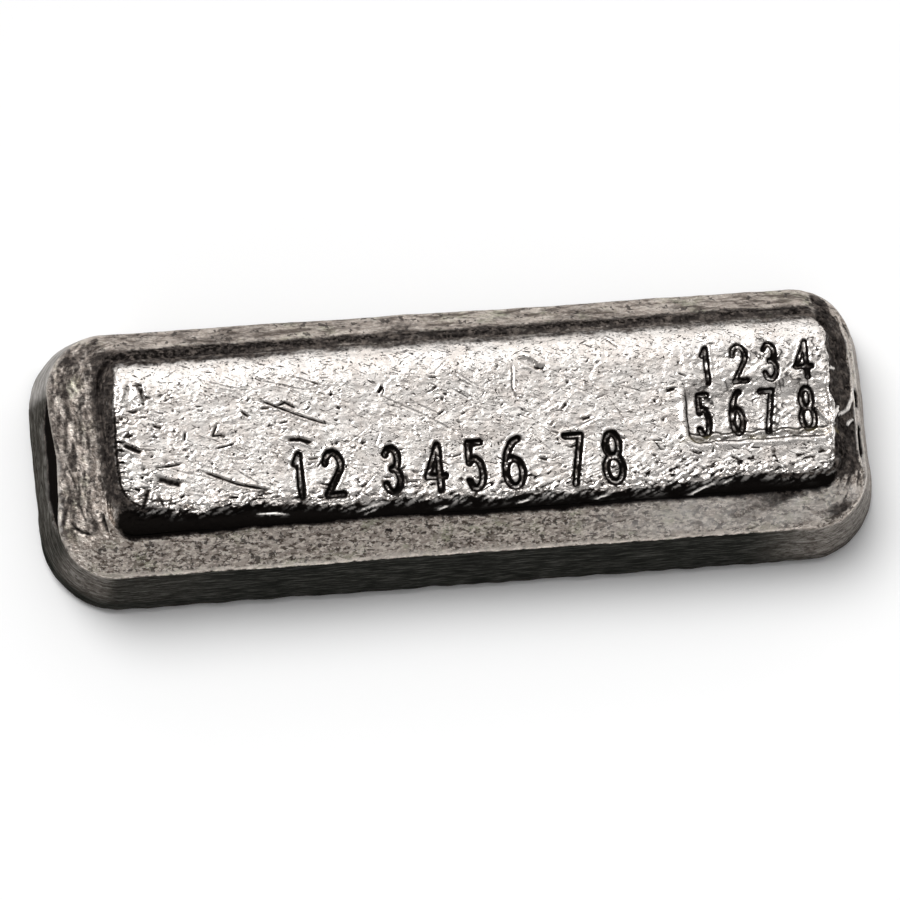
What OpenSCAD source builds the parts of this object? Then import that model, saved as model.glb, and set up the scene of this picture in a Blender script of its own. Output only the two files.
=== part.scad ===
// Cast silver bar, loaf style.
// A wide base with a leaning lower side, a sloping shoulder above a crisp brim,
// and a raised block whose flat top is the struck face. One solid casting.
// Every level follows the overall outline at a constant margin, so one half
// section is swept round the bar.
// Frame: the base lies on Z = 0, its centre at the origin, the length along X.

/* [Bar] */
// Overall length, at the widest level just above the base
bar_length = 92.5; // [60:0.5:150]
// Overall width, at the same level
bar_width = 30.5; // [24:0.5:60]
// Overall height, from the base to the struck face
bar_height = 13; // [8:0.1:24]

/* [Lower side] */
// How far the lower side leans in between its widest level and the brim
side_margin = 1.9; // [0.8:0.1:3]
// Rounding of the base's edge
foot_radius = 0.9; // [0.3:0.1:1.4]
// Rounding of the brim, where the shoulder starts
brim_radius = 0.4; // [0.1:0.1:0.8]

/* [Shoulder] */
// Width of the sloping shoulder
shoulder_margin = 3.2; // [2:0.1:5]
// Rise of the shoulder from the brim to the crease
shoulder_rise = 2.6; // [1.5:0.1:3.5]
// Hollow rounding of the crease, where the block stands on the shoulder
crease_radius = 0.6; // [0.2:0.1:1]

/* [Struck face] */
// Rise of the raised block above the crease
block_rise = 2.2; // [1.6:0.1:3]
// How far the block's wall leans in
block_margin = 1.0; // [0.5:0.1:1.6]
// Rounding of the struck face's edge
face_radius = 1.2; // [0.3:0.1:1.6]
// Radius of the struck face's corners, seen from above
face_corner_radius = 1.5; // [0.5:0.1:4]

/* [Hidden] */
$fn = 96;
// Largest turn between two points of a rounding, in degrees
arc_step = 12;

// Heights of the brim and of the crease
brim_z = bar_height - block_rise - shoulder_rise;
crease_z = bar_height - block_rise;

// How far the rounding of the struck face's edge reaches in over the face
face_reach = face_radius * tan(atan2(block_rise, block_margin) / 2);

// The corners of every level turn about the same four centres, which sit on whole
// hundredths of a millimetre so that straight sides and corners meet exactly
total_margin = side_margin + shoulder_margin + block_margin + face_reach;
corner_radius = round(100 * (total_margin + face_corner_radius)) / 100;
centre_x = bar_length / 2 - corner_radius;
centre_y = bar_width / 2 - corner_radius;

// The lower side's angle above the level: it runs from the brim down to the foot's
// rounding, which reaches out to the overall length and width
side_angle = atan2(brim_z - foot_radius, side_margin - foot_radius)
    - asin(foot_radius / norm([side_margin - foot_radius, brim_z - foot_radius]));

// Corners of the half section before rounding, as [distance out from the corner centres,
// height], and the two ends of its straight edge over the corner centres
brim = [corner_radius - side_margin, brim_z];
crease = [brim[0] - shoulder_margin, crease_z];
face = [crease[0] - block_margin, bar_height];
foot = [brim[0] + brim_z / tan(side_angle), 0];
inner_foot = [0, 0];
inner_face = [0, bar_height];

// Unit vector from a to b
function toward(a, b) = (b - a) / norm(b - a);

// Half of the angle that a corner encloses
function half_angle(before, corner, after) =
    acos(toward(corner, before) * toward(corner, after)) / 2;

// Distance from a corner to where its rounding starts
function tangent_length(before, corner, after, radius) =
    radius / tan(half_angle(before, corner, after));

// A corner's rounding, hollow or full, as points along its arc
function rounding(before, corner, after, radius) =
    let (
        reach = tangent_length(before, corner, after, radius),
        bisector = toward([0, 0], toward(corner, before) + toward(corner, after)),
        centre = corner + bisector * radius / sin(half_angle(before, corner, after)),
        start = toward(centre, corner + reach * toward(corner, before)),
        end = toward(centre, corner + reach * toward(corner, after)),
        turn = acos(start * end),
        steps = ceil(turn / arc_step)
    )
    [for (i = [0:steps])
        centre + radius * (sin(turn - i * turn / steps) * start + sin(i * turn / steps) * end) / sin(turn)];

// The half section from the corner centres out
module half_section() {
    polygon(concat(
        [inner_foot],
        rounding(inner_foot, foot, brim, foot_radius),
        rounding(foot, brim, crease, brim_radius),
        rounding(brim, crease, face, crease_radius),
        rounding(crease, face, inner_face, face_radius),
        [inner_face]
    ));
}

// The whole section between the two long edges
module full_section() {
    for (side = [0, 1])
        mirror([side, 0]) translate([centre_y, 0]) half_section();
    translate([-centre_y, 0]) square([2 * centre_y, bar_height]);
}

// The long sides and the middle, from end corner to end corner
module long_sides() {
    translate([-centre_x, 0, 0])
        rotate([90, 0, 90])
            linear_extrude(height = 2 * centre_x)
                full_section();
}

// The two ends, between their corners
module end_sides() {
    for (end = [0, 1])
        mirror([end, 0, 0])
            translate([centre_x, centre_y, 0])
                rotate([90, 0, 0])
                    linear_extrude(height = 2 * centre_y)
                        half_section();
}

// The four rounded corners
module corners() {
    for (end = [0, 1], side = [0, 1])
        mirror([end, 0, 0]) mirror([0, side, 0])
            translate([centre_x, centre_y, 0])
                rotate_extrude(angle = 90)
                    half_section();
}

// The casting
module bar() {
    color([0.66, 0.65, 0.63]) {
        long_sides();
        end_sides();
        corners();
    }
}

bar();
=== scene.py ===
"""A hand-poured silver bar with struck counting numerals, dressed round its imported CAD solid."""

import itertools
import logging
import math
from dataclasses import dataclass, field
from enum import Enum
from typing import Callable, ClassVar, Iterable, Sequence

import bpy
import numpy as np
from mathutils import Matrix, Vector


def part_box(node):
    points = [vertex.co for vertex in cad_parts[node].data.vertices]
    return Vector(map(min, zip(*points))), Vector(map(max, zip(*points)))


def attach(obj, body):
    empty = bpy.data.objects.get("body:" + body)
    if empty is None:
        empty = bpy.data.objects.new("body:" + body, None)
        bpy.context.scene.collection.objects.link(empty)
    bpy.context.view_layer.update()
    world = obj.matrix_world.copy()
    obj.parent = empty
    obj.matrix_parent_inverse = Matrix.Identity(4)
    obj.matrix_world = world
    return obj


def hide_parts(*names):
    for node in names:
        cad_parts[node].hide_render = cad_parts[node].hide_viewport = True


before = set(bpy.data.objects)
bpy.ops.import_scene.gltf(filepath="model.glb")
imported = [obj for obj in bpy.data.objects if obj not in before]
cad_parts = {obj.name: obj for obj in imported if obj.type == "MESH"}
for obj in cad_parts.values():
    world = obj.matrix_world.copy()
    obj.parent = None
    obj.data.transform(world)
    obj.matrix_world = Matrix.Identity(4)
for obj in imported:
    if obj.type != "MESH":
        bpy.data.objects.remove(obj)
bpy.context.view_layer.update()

MM = 0.001
CAD_NODE = "bar"
BODY = "root"
PIECE = "cast_bar"
# Masks on the mesh: dark marks with painted shade, stains, bright metal with painted highlights, the
# sides' painted shade, drawn streaks.
MASKS = ("tarnish_and_shade", "stain", "gleam", "side_shade", "drawn")

Array = np.ndarray
Point = tuple[float, float]
Line = Sequence[Point]
Socket = bpy.types.NodeSocket

log = logging.getLogger("bar")


# ---------------------------------------------------------------------------------------------
# Small helpers
# ---------------------------------------------------------------------------------------------

def ease(start: float | Array, stop: float | Array, value: Array) -> Array:
    """Rise smoothly from 0 to 1.

    Args:
        start: Value at which the rise begins.
        stop: Value at which it is complete, which may be below start for a fall.
        value: Numbers to judge.

    Returns:
        A number from 0 to 1 for each value.
    """
    share = np.clip((value - start) / (stop - start), 0.0, 1.0)
    return share * share * (3.0 - 2.0 * share)


def hill(centre: float | Array, reach: float, value: Array) -> Array:
    """Return a bell of height 1 round centre, its shoulders at reach."""
    return np.exp(-((value - centre) / reach) ** 2)


def cloud(points: Array, size: float | Sequence[float], seed: int) -> Array:
    """Give smooth lattice noise at points.

    Args:
        points: Places in mm, one row each.
        size: Size of the lumps in mm, one number or one for each axis.
        seed: Picks the pattern.

    Returns:
        Noise from about -1 to 1 for each point.
    """
    draw = np.random.default_rng(seed)
    turns = draw.normal(size=(256, 3))
    turns = (turns / np.linalg.norm(turns, axis=1, keepdims=True)).astype(np.float32)
    order = draw.permutation(256)
    at = np.asarray(points, np.float32) / np.asarray(size, np.float32)
    cell = np.floor(at).astype(np.int64)
    part = (at - cell).astype(np.float32)
    fade = part * part * part * (part * (part * 6 - 15) + 10)
    total = np.zeros(len(at), np.float32)
    for corner in itertools.product((0, 1), repeat=3):
        near = (cell + corner) & 255
        pick = order[(order[(order[near[:, 0]] + near[:, 1]) & 255] + near[:, 2]) & 255]
        weight = np.where(np.array(corner, bool), fade, 1 - fade).prod(axis=1)
        total += weight * ((part - np.array(corner, np.float32)) * turns[pick]).sum(axis=1)
    return 1.6 * total


def ridges(points: Array, size: float | Sequence[float], seed: int) -> Array:
    """Give creased noise from 0 to 1, sharp along its crests."""
    return 1.0 - np.minimum(1.0, 2.2 * np.abs(cloud(points, size, seed)))


def distance_to_line(x: Array, y: Array, line: Line) -> tuple[Array, Array]:
    """Measure how far points lie from an open line.

    Args:
        x: Place along the bar.
        y: Place across the bar.
        line: The line's corners.

    Returns:
        The distance, and how far along the line the nearest spot is, from 0 to 1.
    """
    best = np.full(x.shape, np.inf)
    along = np.zeros(x.shape)
    steps = [math.dist(a, b) for a, b in zip(line, line[1:])]
    length = max(sum(steps), 1e-9)
    done = 0.0
    for (ax, ay), (bx, by), step in zip(line, line[1:], steps):
        run_x, run_y = bx - ax, by - ay
        share = np.clip(((x - ax) * run_x + (y - ay) * run_y) / max(step * step, 1e-12), 0, 1)
        gap = np.hypot(x - ax - share * run_x, y - ay - share * run_y)
        nearer = gap < best
        best = np.where(nearer, gap, best)
        along = np.where(nearer, (done + share * step) / length, along)
        done += step
    return best, along


def step_from(start: Point, turn: float, length: float) -> Point:
    """Step from a place by a length, turned anticlockwise from the bar's length."""
    return start[0] + length * math.cos(turn), start[1] + length * math.sin(turn)


def leave_edit_mode() -> None:
    """Go back to object mode with nothing selected."""
    if bpy.context.object and bpy.context.object.mode != "OBJECT":
        bpy.ops.object.mode_set(mode="OBJECT")
    bpy.ops.object.select_all(action="DESELECT")


def make_only(obj: bpy.types.Object) -> None:
    """Make an object the only selected one, and the active one.

    Args:
        obj: The object.
    """
    leave_edit_mode()
    obj.select_set(True)
    bpy.context.view_layer.objects.active = obj


def start_picking(obj: bpy.types.Object, kind: str) -> None:
    """Make obj the active one with no face, edge or vertex of its mesh selected.

    Args:
        obj: The mesh object.
        kind: What is picked next, FACE or EDGE.
    """
    make_only(obj)
    bpy.ops.object.mode_set(mode="EDIT")
    bpy.ops.mesh.select_mode(type=kind)
    bpy.ops.mesh.select_all(action="DESELECT")
    bpy.ops.object.mode_set(mode="OBJECT")


def pick_faces(obj: bpy.types.Object, wanted: Callable[[bpy.types.MeshPolygon], bool]) -> int:
    """Select the faces that wanted accepts, and enter edit mode on them.

    Args:
        obj: The mesh object.
        wanted: Says yes or no to a face.

    Returns:
        How many faces are selected.
    """
    start_picking(obj, "FACE")
    for face in obj.data.polygons:
        face.select = wanted(face)
    picked = sum(face.select for face in obj.data.polygons)
    bpy.ops.object.mode_set(mode="EDIT")
    return picked


def pick_edges(obj: bpy.types.Object, wanted: Callable[[Vector, Vector], bool]) -> None:
    """Select the edges whose two ends wanted accepts, and enter edit mode on them.

    Args:
        obj: The mesh object.
        wanted: Says yes or no to an edge's two ends.
    """
    start_picking(obj, "EDGE")
    corners = obj.data.vertices
    for edge in obj.data.edges:
        edge.select = wanted(corners[edge.vertices[0]].co, corners[edge.vertices[1]].co)
    bpy.ops.object.mode_set(mode="EDIT")


def apply_modifier(obj: bpy.types.Object, kind: str, **settings: object) -> None:
    """Add a modifier to obj and apply it.

    Args:
        obj: The mesh object.
        kind: The modifier's type.
        **settings: Its settings by name.
    """
    make_only(obj)
    modifier = obj.modifiers.new(kind.title(), kind)
    for name, value in settings.items():
        setattr(modifier, name, value)
    bpy.ops.object.modifier_apply(modifier=modifier.name)


# ---------------------------------------------------------------------------------------------
# The bar's plain body
# ---------------------------------------------------------------------------------------------

@dataclass
class BarBody:
    """The poured body, all in mm until it is finished: a tapered side, a shoulder and a block.

    Margins are measured inwards, level with the table, from the widest outline.
    """

    length: float
    width: float
    height: float
    foot_band: float = 1.15
    brim_margin: float = 1.9
    brim_z: float = 8.2
    crease_margin: float = 5.1
    crease_z: float = 10.8
    block_margin: float = 6.1
    corner_radius: float = 8.37
    foot_radius: float = 0.9
    brim_radius: float = 0.4
    crease_radius: float = 0.6
    face_radius: float = 1.2
    corner_steps: int = 24
    level_slack: float = 0.01
    voxel: float = 0.2
    struck_triangles: int = 114_000
    end_triangles: int = 34_000
    other_triangles: int = 48_000

    @property
    def centre_x(self) -> float:
        """How far the outline's corner centres lie from the middle, along the bar."""
        return self.length / 2 - self.corner_radius

    @property
    def centre_y(self) -> float:
        """How far the outline's corner centres lie from the middle, across the bar."""
        return self.width / 2 - self.corner_radius

    def margin(self, x: Array, y: Array) -> Array:
        """Say how far inside the widest outline each place is.

        Args:
            x: Place along the bar.
            y: Place across the bar.

        Returns:
            The margin in mm, below zero outside.
        """
        over_x = np.abs(x) - self.centre_x
        over_y = np.abs(y) - self.centre_y
        outside = np.hypot(np.maximum(over_x, 0), np.maximum(over_y, 0))
        return self.corner_radius - outside - np.minimum(np.maximum(over_x, over_y), 0)

    def block_out(self) -> bpy.types.Object:
        """Model the body with its levels and roundings, in mm.

        Returns:
            The smooth body, a closed mesh of a few hundred faces.
        """
        leave_edit_mode()
        bpy.ops.mesh.primitive_cube_add(size=1, location=(0, 0, self.foot_band / 2))
        body = bpy.context.object
        body.name = body.data.name = PIECE
        body.scale = (self.length, self.width, self.foot_band)
        bpy.ops.object.transform_apply(location=True, rotation=True, scale=True)
        pick_edges(body, lambda a, b: abs(a.z - b.z) > 0.5)
        bpy.ops.mesh.bevel(offset=self.corner_radius, segments=self.corner_steps, affect="EDGES")
        rises = (
            (self.brim_margin, self.brim_z - self.foot_band),
            (self.crease_margin - self.brim_margin, self.crease_z - self.brim_z),
            (self.block_margin - self.crease_margin, self.height - self.crease_z),
        )
        pick_faces(body, lambda face: face.normal.z > 0.9)
        for thickness, depth in rises:
            bpy.ops.mesh.inset(thickness=thickness, depth=depth, use_even_offset=True)
        # Each reach is about a radius times the tangent of half the turn, which keeps the radius.
        roundings = (
            (self.height, 0.65 * self.face_radius, 6),
            (self.crease_z, 0.25 * self.crease_radius, 3),
            (self.brim_z, 0.33 * self.brim_radius, 3),
            (0.0, self.foot_radius, 5),
        )
        for level, reach, steps in roundings:
            pick_edges(body, lambda a, b: max(abs(a.z - level), abs(b.z - level)) < self.level_slack)
            bpy.ops.mesh.bevel(offset=reach, segments=steps, affect="EDGES")
        leave_edit_mode()
        return body

    def skin(self, body: bpy.types.Object) -> None:
        """Cover the body in an even fine mesh, twice as fine over the block, on its faces.

        Args:
            body: The body, whose mesh is replaced.
        """
        make_only(body)
        bpy.ops.object.duplicate()
        pattern = bpy.context.object
        apply_modifier(body, "REMESH", mode="VOXEL", voxel_size=self.voxel)
        pick_faces(body, lambda face: face.center.z > self.crease_z + 0.5)
        bpy.ops.mesh.subdivide(number_cuts=1)
        apply_modifier(body, "SHRINKWRAP", target=pattern, wrap_method="NEAREST_SURFACEPOINT")
        bpy.data.objects.remove(pattern)

    def thin(self, body: bpy.types.Object) -> None:
        """Merge faces where the surface is even, until the mesh is light enough.

        Args:
            body: The body with its relief.
        """
        apply_modifier(body, "TRIANGULATE")
        struck_z, end_x = self.crease_z + 0.8, self.centre_x + 3.2
        struck, ends, rest = self.struck_triangles, self.end_triangles, self.other_triangles
        parts = {"struck": struck, "end": ends, "rest": rest}

        def belongs(face: bpy.types.MeshPolygon) -> str:
            """Name the part of the bar that a face belongs to.

            Args:
                face: The face.

            Returns:
                One of the names in parts.
            """
            if face.center.z > struck_z:
                return "struck"
            return "end" if abs(face.center.x) > end_x and face.center.z > 0.4 else "rest"

        for part, wanted in parts.items():
            picked = pick_faces(body, lambda face: belongs(face) == part)
            bpy.ops.mesh.decimate(ratio=min(1.0, wanted / picked))
            leave_edit_mode()
            log.info("thinned %d %s faces, %d are left in all", picked, part, len(body.data.polygons))

    def to_metres(self, body: bpy.types.Object) -> None:
        """Scale the mesh from mm to metres, shade it smooth and leave the object unscaled.

        Args:
            body: The body.
        """
        make_only(body)
        body.scale = (MM, MM, MM)
        bpy.ops.object.transform_apply(location=True, rotation=True, scale=True)
        bpy.ops.object.shade_smooth()


# ---------------------------------------------------------------------------------------------
# What the surface went through: wear, scratches, strikes; and the painted shade and highlights laid on it
# ---------------------------------------------------------------------------------------------

@dataclass
class Skin:
    """The bar's surface as numbers: where each vertex is, and what the finish is told there."""

    body: BarBody
    obj: bpy.types.Object
    place: Array = field(init=False)
    normal: Array = field(init=False)
    tarnish_and_shade: Array = field(init=False)
    stain: Array = field(init=False)
    gleam: Array = field(init=False)
    side_shade: Array = field(init=False)
    drawn: Array = field(init=False)

    def __post_init__(self) -> None:
        """Read the vertices and their normals."""
        mesh = self.obj.data
        count = len(mesh.vertices)
        self.place = np.empty((count, 3), np.float32)
        self.normal = np.empty((count, 3), np.float32)
        mesh.vertices.foreach_get("co", self.place.ravel())
        mesh.vertex_normals.foreach_get("vector", self.normal.ravel())
        for name in MASKS:
            setattr(self, name, np.zeros(count))

    @property
    def x(self) -> Array:
        """Place along the bar."""
        return self.place[:, 0]

    @property
    def y(self) -> Array:
        """Place across the bar."""
        return self.place[:, 1]

    @property
    def z(self) -> Array:
        """Height above the floor."""
        return self.place[:, 2]

    def near(self, line: Line, reach: float, above: float = 11.6) -> Array:
        """Find the vertices on top of the bar near a line.

        Args:
            line: The line's corners.
            reach: How far from the line's own box still counts.
            above: The lowest height that counts.

        Returns:
            The vertices' numbers.
        """
        xs, ys = zip(*line)
        inside = (self.x > min(xs) - reach) & (self.x < max(xs) + reach)
        inside &= (self.y > min(ys) - reach) & (self.y < max(ys) + reach)
        return np.nonzero(inside & (self.z > above))[0]

    def raise_along_normal(self, height: Array, which: Array | slice = slice(None)) -> None:
        """Move vertices out along their normals.

        Args:
            height: How far, in mm.
            which: Their numbers, all of them unless given.
        """
        self.place[which] += self.normal[which] * np.asarray(height)[:, None]

    def noise(self, size: float | Sequence[float], seed: int) -> Array:
        """Give smooth lattice noise at every vertex, as cloud does at points."""
        return cloud(self.place, size, seed)

    def darken(self, amount: Array, which: Array | slice = slice(None)) -> None:
        """Darken vertices by at least amount; this lays tarnished marks and painted shade alike."""
        self.tarnish_and_shade[which] = np.maximum(self.tarnish_and_shade[which], amount)

    def brighten(self, amount: Array, which: Array | slice = slice(None)) -> None:
        """Lay bright bare metal on vertices by at least amount; in places this is a painted highlight."""
        self.gleam[which] = np.maximum(self.gleam[which], amount)

    def above_brim(self) -> Array:
        """Say how much of each place belongs to the shoulder or anything above it."""
        return ease(7.9, 8.4, self.z)

    def slanted(self, x: Array, y: Array) -> Array:
        """Turn places so that lumps on them lie along the torn strokes of the front edge."""
        return np.stack([x + 1.8 * y, y - 0.45 * x, self.z], axis=1)

    def save(self) -> None:
        """Write the vertices back, and the masks as attributes that the finish reads."""
        mesh = self.obj.data
        mesh.vertices.foreach_set("co", self.place.ravel())
        for name in MASKS:
            attribute = mesh.attributes.new(name, "FLOAT", "POINT")
            value = np.clip(getattr(self, name), 0, 1).astype(np.float32)
            attribute.data.foreach_set("value", value)
        mesh.update()


@dataclass(frozen=True)
class Settling:
    """How the cast shape leans: the levels don't sit square above each other.

    Each shift is for the brim, the crease and the struck face, at one end or side.
    """

    left: tuple[float, float, float] = (-0.75, 0.95, 1.0)
    right: tuple[float, float, float] = (-0.1, 0.1, 0.5)
    front: tuple[float, float, float] = (0.15, 0.8, 0.1)
    back: tuple[float, float, float] = (0.4, 0.8, 0.1)
    front_crease: tuple[Point, ...] = (
        (-36.0, 0.0), (-30.0, 0.1), (-25.0, 0.6), (-19.0, 0.35), (-8.0, 0.5), (-3.0, 0.1),
        (14.0, 0.05), (19.0, 0.25), (25.0, 0.1), (36.0, 0.2),
    )
    wobble: float = 0.12

    def shape(self, skin: Skin) -> None:
        """Shift each level sideways, and make the walls a little uneven.

        Args:
            skin: The surface.
        """
        body = skin.body
        x, y = skin.x.copy(), skin.y.copy()
        heights = (0.0, body.brim_z, body.crease_z, body.height - 0.1)
        for axis, place, low, high in ((0, x, self.left, self.right), (1, y, self.front, self.back)):
            share = ease(-0.6, 0.6, place / (body.length, body.width)[axis] * 2)
            to_low = np.interp(skin.z, heights, (0.0, *low))
            to_high = np.interp(skin.z, heights, (0.0, *high))
            skin.place[:, axis] += (1 - share) * to_low + share * to_high
        at_crease = ease(8.2, 10.4, skin.z) * ease(12.6, 11.2, skin.z) * ease(-4, -8, y)
        skin.place[:, 1] += np.interp(x, *zip(*self.front_crease)) * at_crease
        margin = body.margin(skin.x, skin.y)
        on_wall = ease(0.3, 1.5, skin.z) * ease(8.0, 6.5, margin)
        flat = skin.place * (1, 1, 0.6)
        swell = self.wobble * cloud(flat, 9.0, 11) + 0.5 * self.wobble * cloud(flat, 3.5, 12)
        foot = 0.16 * cloud(flat, (2.6, 2.6, 9.0), 13) * ease(2.6, 0.4, skin.z) * ease(4, 0, margin)
        skin.raise_along_normal(swell * on_wall + foot * ease(0.0, 0.6, skin.z))


@dataclass(frozen=True)
class BlockWear:
    """Wear of the struck block: its worn front edge, its rolled back edge and its crushed rim."""

    front_edge: tuple[Point, ...] = (
        (-39.0, -5.8), (-37.2, -6.4), (-35.6, -6.7), (-31.5, -7.2), (-28.5, -7.1), (-25.0, -6.7),
        (-20.0, -7.0), (-14.0, -7.7), (-8.5, -7.4), (-2.0, -7.8), (3.0, -7.9), (13.5, -8.0),
        (19.0, -8.1), (25.0, -7.8), (30.3, -7.4), (36.0, -7.9), (41.0, -7.6),
    )
    left_edge: tuple[Point, ...] = (
        (-9.0, -38.0), (-6.5, -38.2), (-4.5, -38.4), (-2.3, -38.5), (1.0, -38.5), (4.3, -38.3),
        (6.5, -38.0), (9.5, -37.6),
    )
    right_edge: tuple[Point, ...] = (
        (-9.0, 39.4), (-6.0, 39.8), (-3.0, 40.1), (-0.4, 40.5), (1.1, 39.9), (2.4, 40.2),
        (4.9, 40.4), (6.2, 40.1), (7.5, 40.5), (8.8, 39.9),
    )
    front_corner: float = 2.2
    back_start: float = 5.7
    back_curve: float = 0.066

    def outside(self, x: Array, y: Array) -> Array:
        """Say how far outside the even part of the top each place is.

        Args:
            x: Place along the bar.
            y: Place across the bar.

        Returns:
            The distance past the front, left or right edge, below zero inside.
        """
        over_y = np.interp(x, *zip(*self.front_edge)) - y
        left = np.interp(y, *zip(*self.left_edge)) - x
        right = x - np.interp(y, *zip(*self.right_edge))
        corner = np.where(x < 0, self.front_corner, 0.4 * self.front_corner)
        round_x, round_y = np.maximum(left, right) + corner, over_y + corner
        inside = np.minimum(np.maximum(round_x, round_y), 0)
        return inside + np.hypot(np.maximum(round_x, 0), np.maximum(round_y, 0)) - corner

    def shape(self, skin: Skin) -> None:
        """Wear the block's edges down.

        Args:
            skin: The surface.
        """
        x, y = skin.x.copy(), skin.y.copy()
        on_block = ease(10.9, 11.9, skin.z)
        gap = self.outside(x, y) + 0.26 * skin.noise(1.3, 21) + 0.2 * skin.noise(0.6, 22)
        to_front = ease(-6.6, -7.4, y)
        sunk = 0.11 * to_front * np.maximum(0, gap + 1.0) ** 2
        worn = 0.6 * np.maximum(0, gap)
        back = np.maximum(0, y + 0.25 * skin.noise(2.5, 23) - self.back_start)
        rolled = self.back_curve * np.minimum(back, 3.2) ** 2
        skin.place[:, 2] -= on_block * (np.minimum(worn + sunk, 1.0) + rolled)
        self.crush(skin, x, y, on_block)

    def crush(self, skin: Skin, x: Array, y: Array, on_block: Array) -> None:
        """Roughen the rims, where the hammered metal tore.

        Args:
            skin: The surface.
            x: Place along the bar before the wear.
            y: Place across the bar before the wear.
            on_block: How much of each place belongs to the block.
        """
        spot = np.stack([x, y, skin.z], axis=1)
        gap = self.outside(x, y)
        to_front = ease(-5.8, -6.8, y)
        slant = skin.slanted(x, y)
        torn = 0.3 * (ridges(slant, (1.8, 0.5, 1.0), 31) - 0.4)
        torn *= 0.35 + 0.9 * ease(-0.3, 0.5, cloud(spot, (3.6, 3.0, 3.6), 139))
        torn += 0.1 * cloud(spot, 0.5, 32) + 0.1 * cloud(spot, 0.9, 140)
        left_band = hill(-0.3, 0.8, gap) * ease(-8.0, -6.5, y) * ease(6.5, 3.5, y) * ease(0, -9, x)
        bent = np.stack([x, y + 0.5 * cloud(spot, 1.2, 39), skin.z], axis=1)
        teeth = 0.24 * (ridges(bent, (1.6, 0.5, 2.0), 33) - 0.5) + 0.10 * cloud(spot, 0.4, 34)
        back_left = hill(-0.2, 0.9, gap) * ease(2.0, 5.0, y) * ease(9.4, 8.0, y) * ease(0, -9, x)
        lumps = 0.14 * cloud(spot, 0.8, 35) + 0.08 * cloud(spot, 0.35, 38)
        right_band = hill(-0.1, 0.7, gap) * ease(9, 20, x) * ease(-8.5, -7.0, y)
        chips = 0.16 * cloud(spot, 0.7, 36) + 0.08 * cloud(spot, 0.35, 37)
        lift = torn * hill(0.0, 0.75, gap) * to_front + teeth * left_band
        lift += lumps * back_left + chips * right_band
        skin.raise_along_normal(lift * on_block)


@dataclass(frozen=True)
class Scratch:
    """One drawn mark on the struck face: where it runs, and how wide, deep, lipped and dark."""

    line: Line
    width: float = 0.2
    depth: float = 0.1
    lip: float = 0.03
    dark: float = 0.7

    def cut(self, skin: Skin) -> None:
        """Cut the mark, with thin lips of pushed-up metal beside it.

        Args:
            skin: The surface.
        """
        which = skin.near(self.line, 4 * self.width)
        if not len(which):
            return
        gap, along = distance_to_line(skin.x[which], skin.y[which], self.line)
        wander = 0.25 * self.width * cloud(skin.place[which], 0.8, 41)
        gap = np.abs(gap + wander) / self.width
        taper = np.minimum(1.0, 5.0 * np.minimum(along + 0.04, 1.04 - along))
        floor = np.maximum(0, 1 - gap * gap)
        lips = hill(1.35, 0.45, gap)
        skin.place[which, 2] += taper * (self.lip * lips - self.depth * floor)
        skin.darken(self.dark * taper * floor, which)


@dataclass(frozen=True)
class Dent:
    """One pock or dent on the struck face."""

    at: Point
    radius: float = 0.3
    depth: float = 0.12
    dark: float = 0.6

    def press(self, skin: Skin) -> None:
        """Press the dent, its outline a little uneven.

        Args:
            skin: The surface.
        """
        which = skin.near([self.at, self.at], 1.7 * self.radius)
        if not len(which):
            return
        uneven = 1 + 0.45 * cloud(skin.place[which], 1.2 * self.radius, 51)
        gap = np.hypot(skin.x[which] - self.at[0], skin.y[which] - self.at[1])
        gap = gap * uneven / self.radius
        bowl = np.maximum(0, 1 - gap ** 2) ** 1.5
        skin.place[which, 2] += 0.12 * self.depth * hill(1.2, 0.25, gap) - self.depth * bowl
        skin.darken(self.dark * bowl, which)


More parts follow.
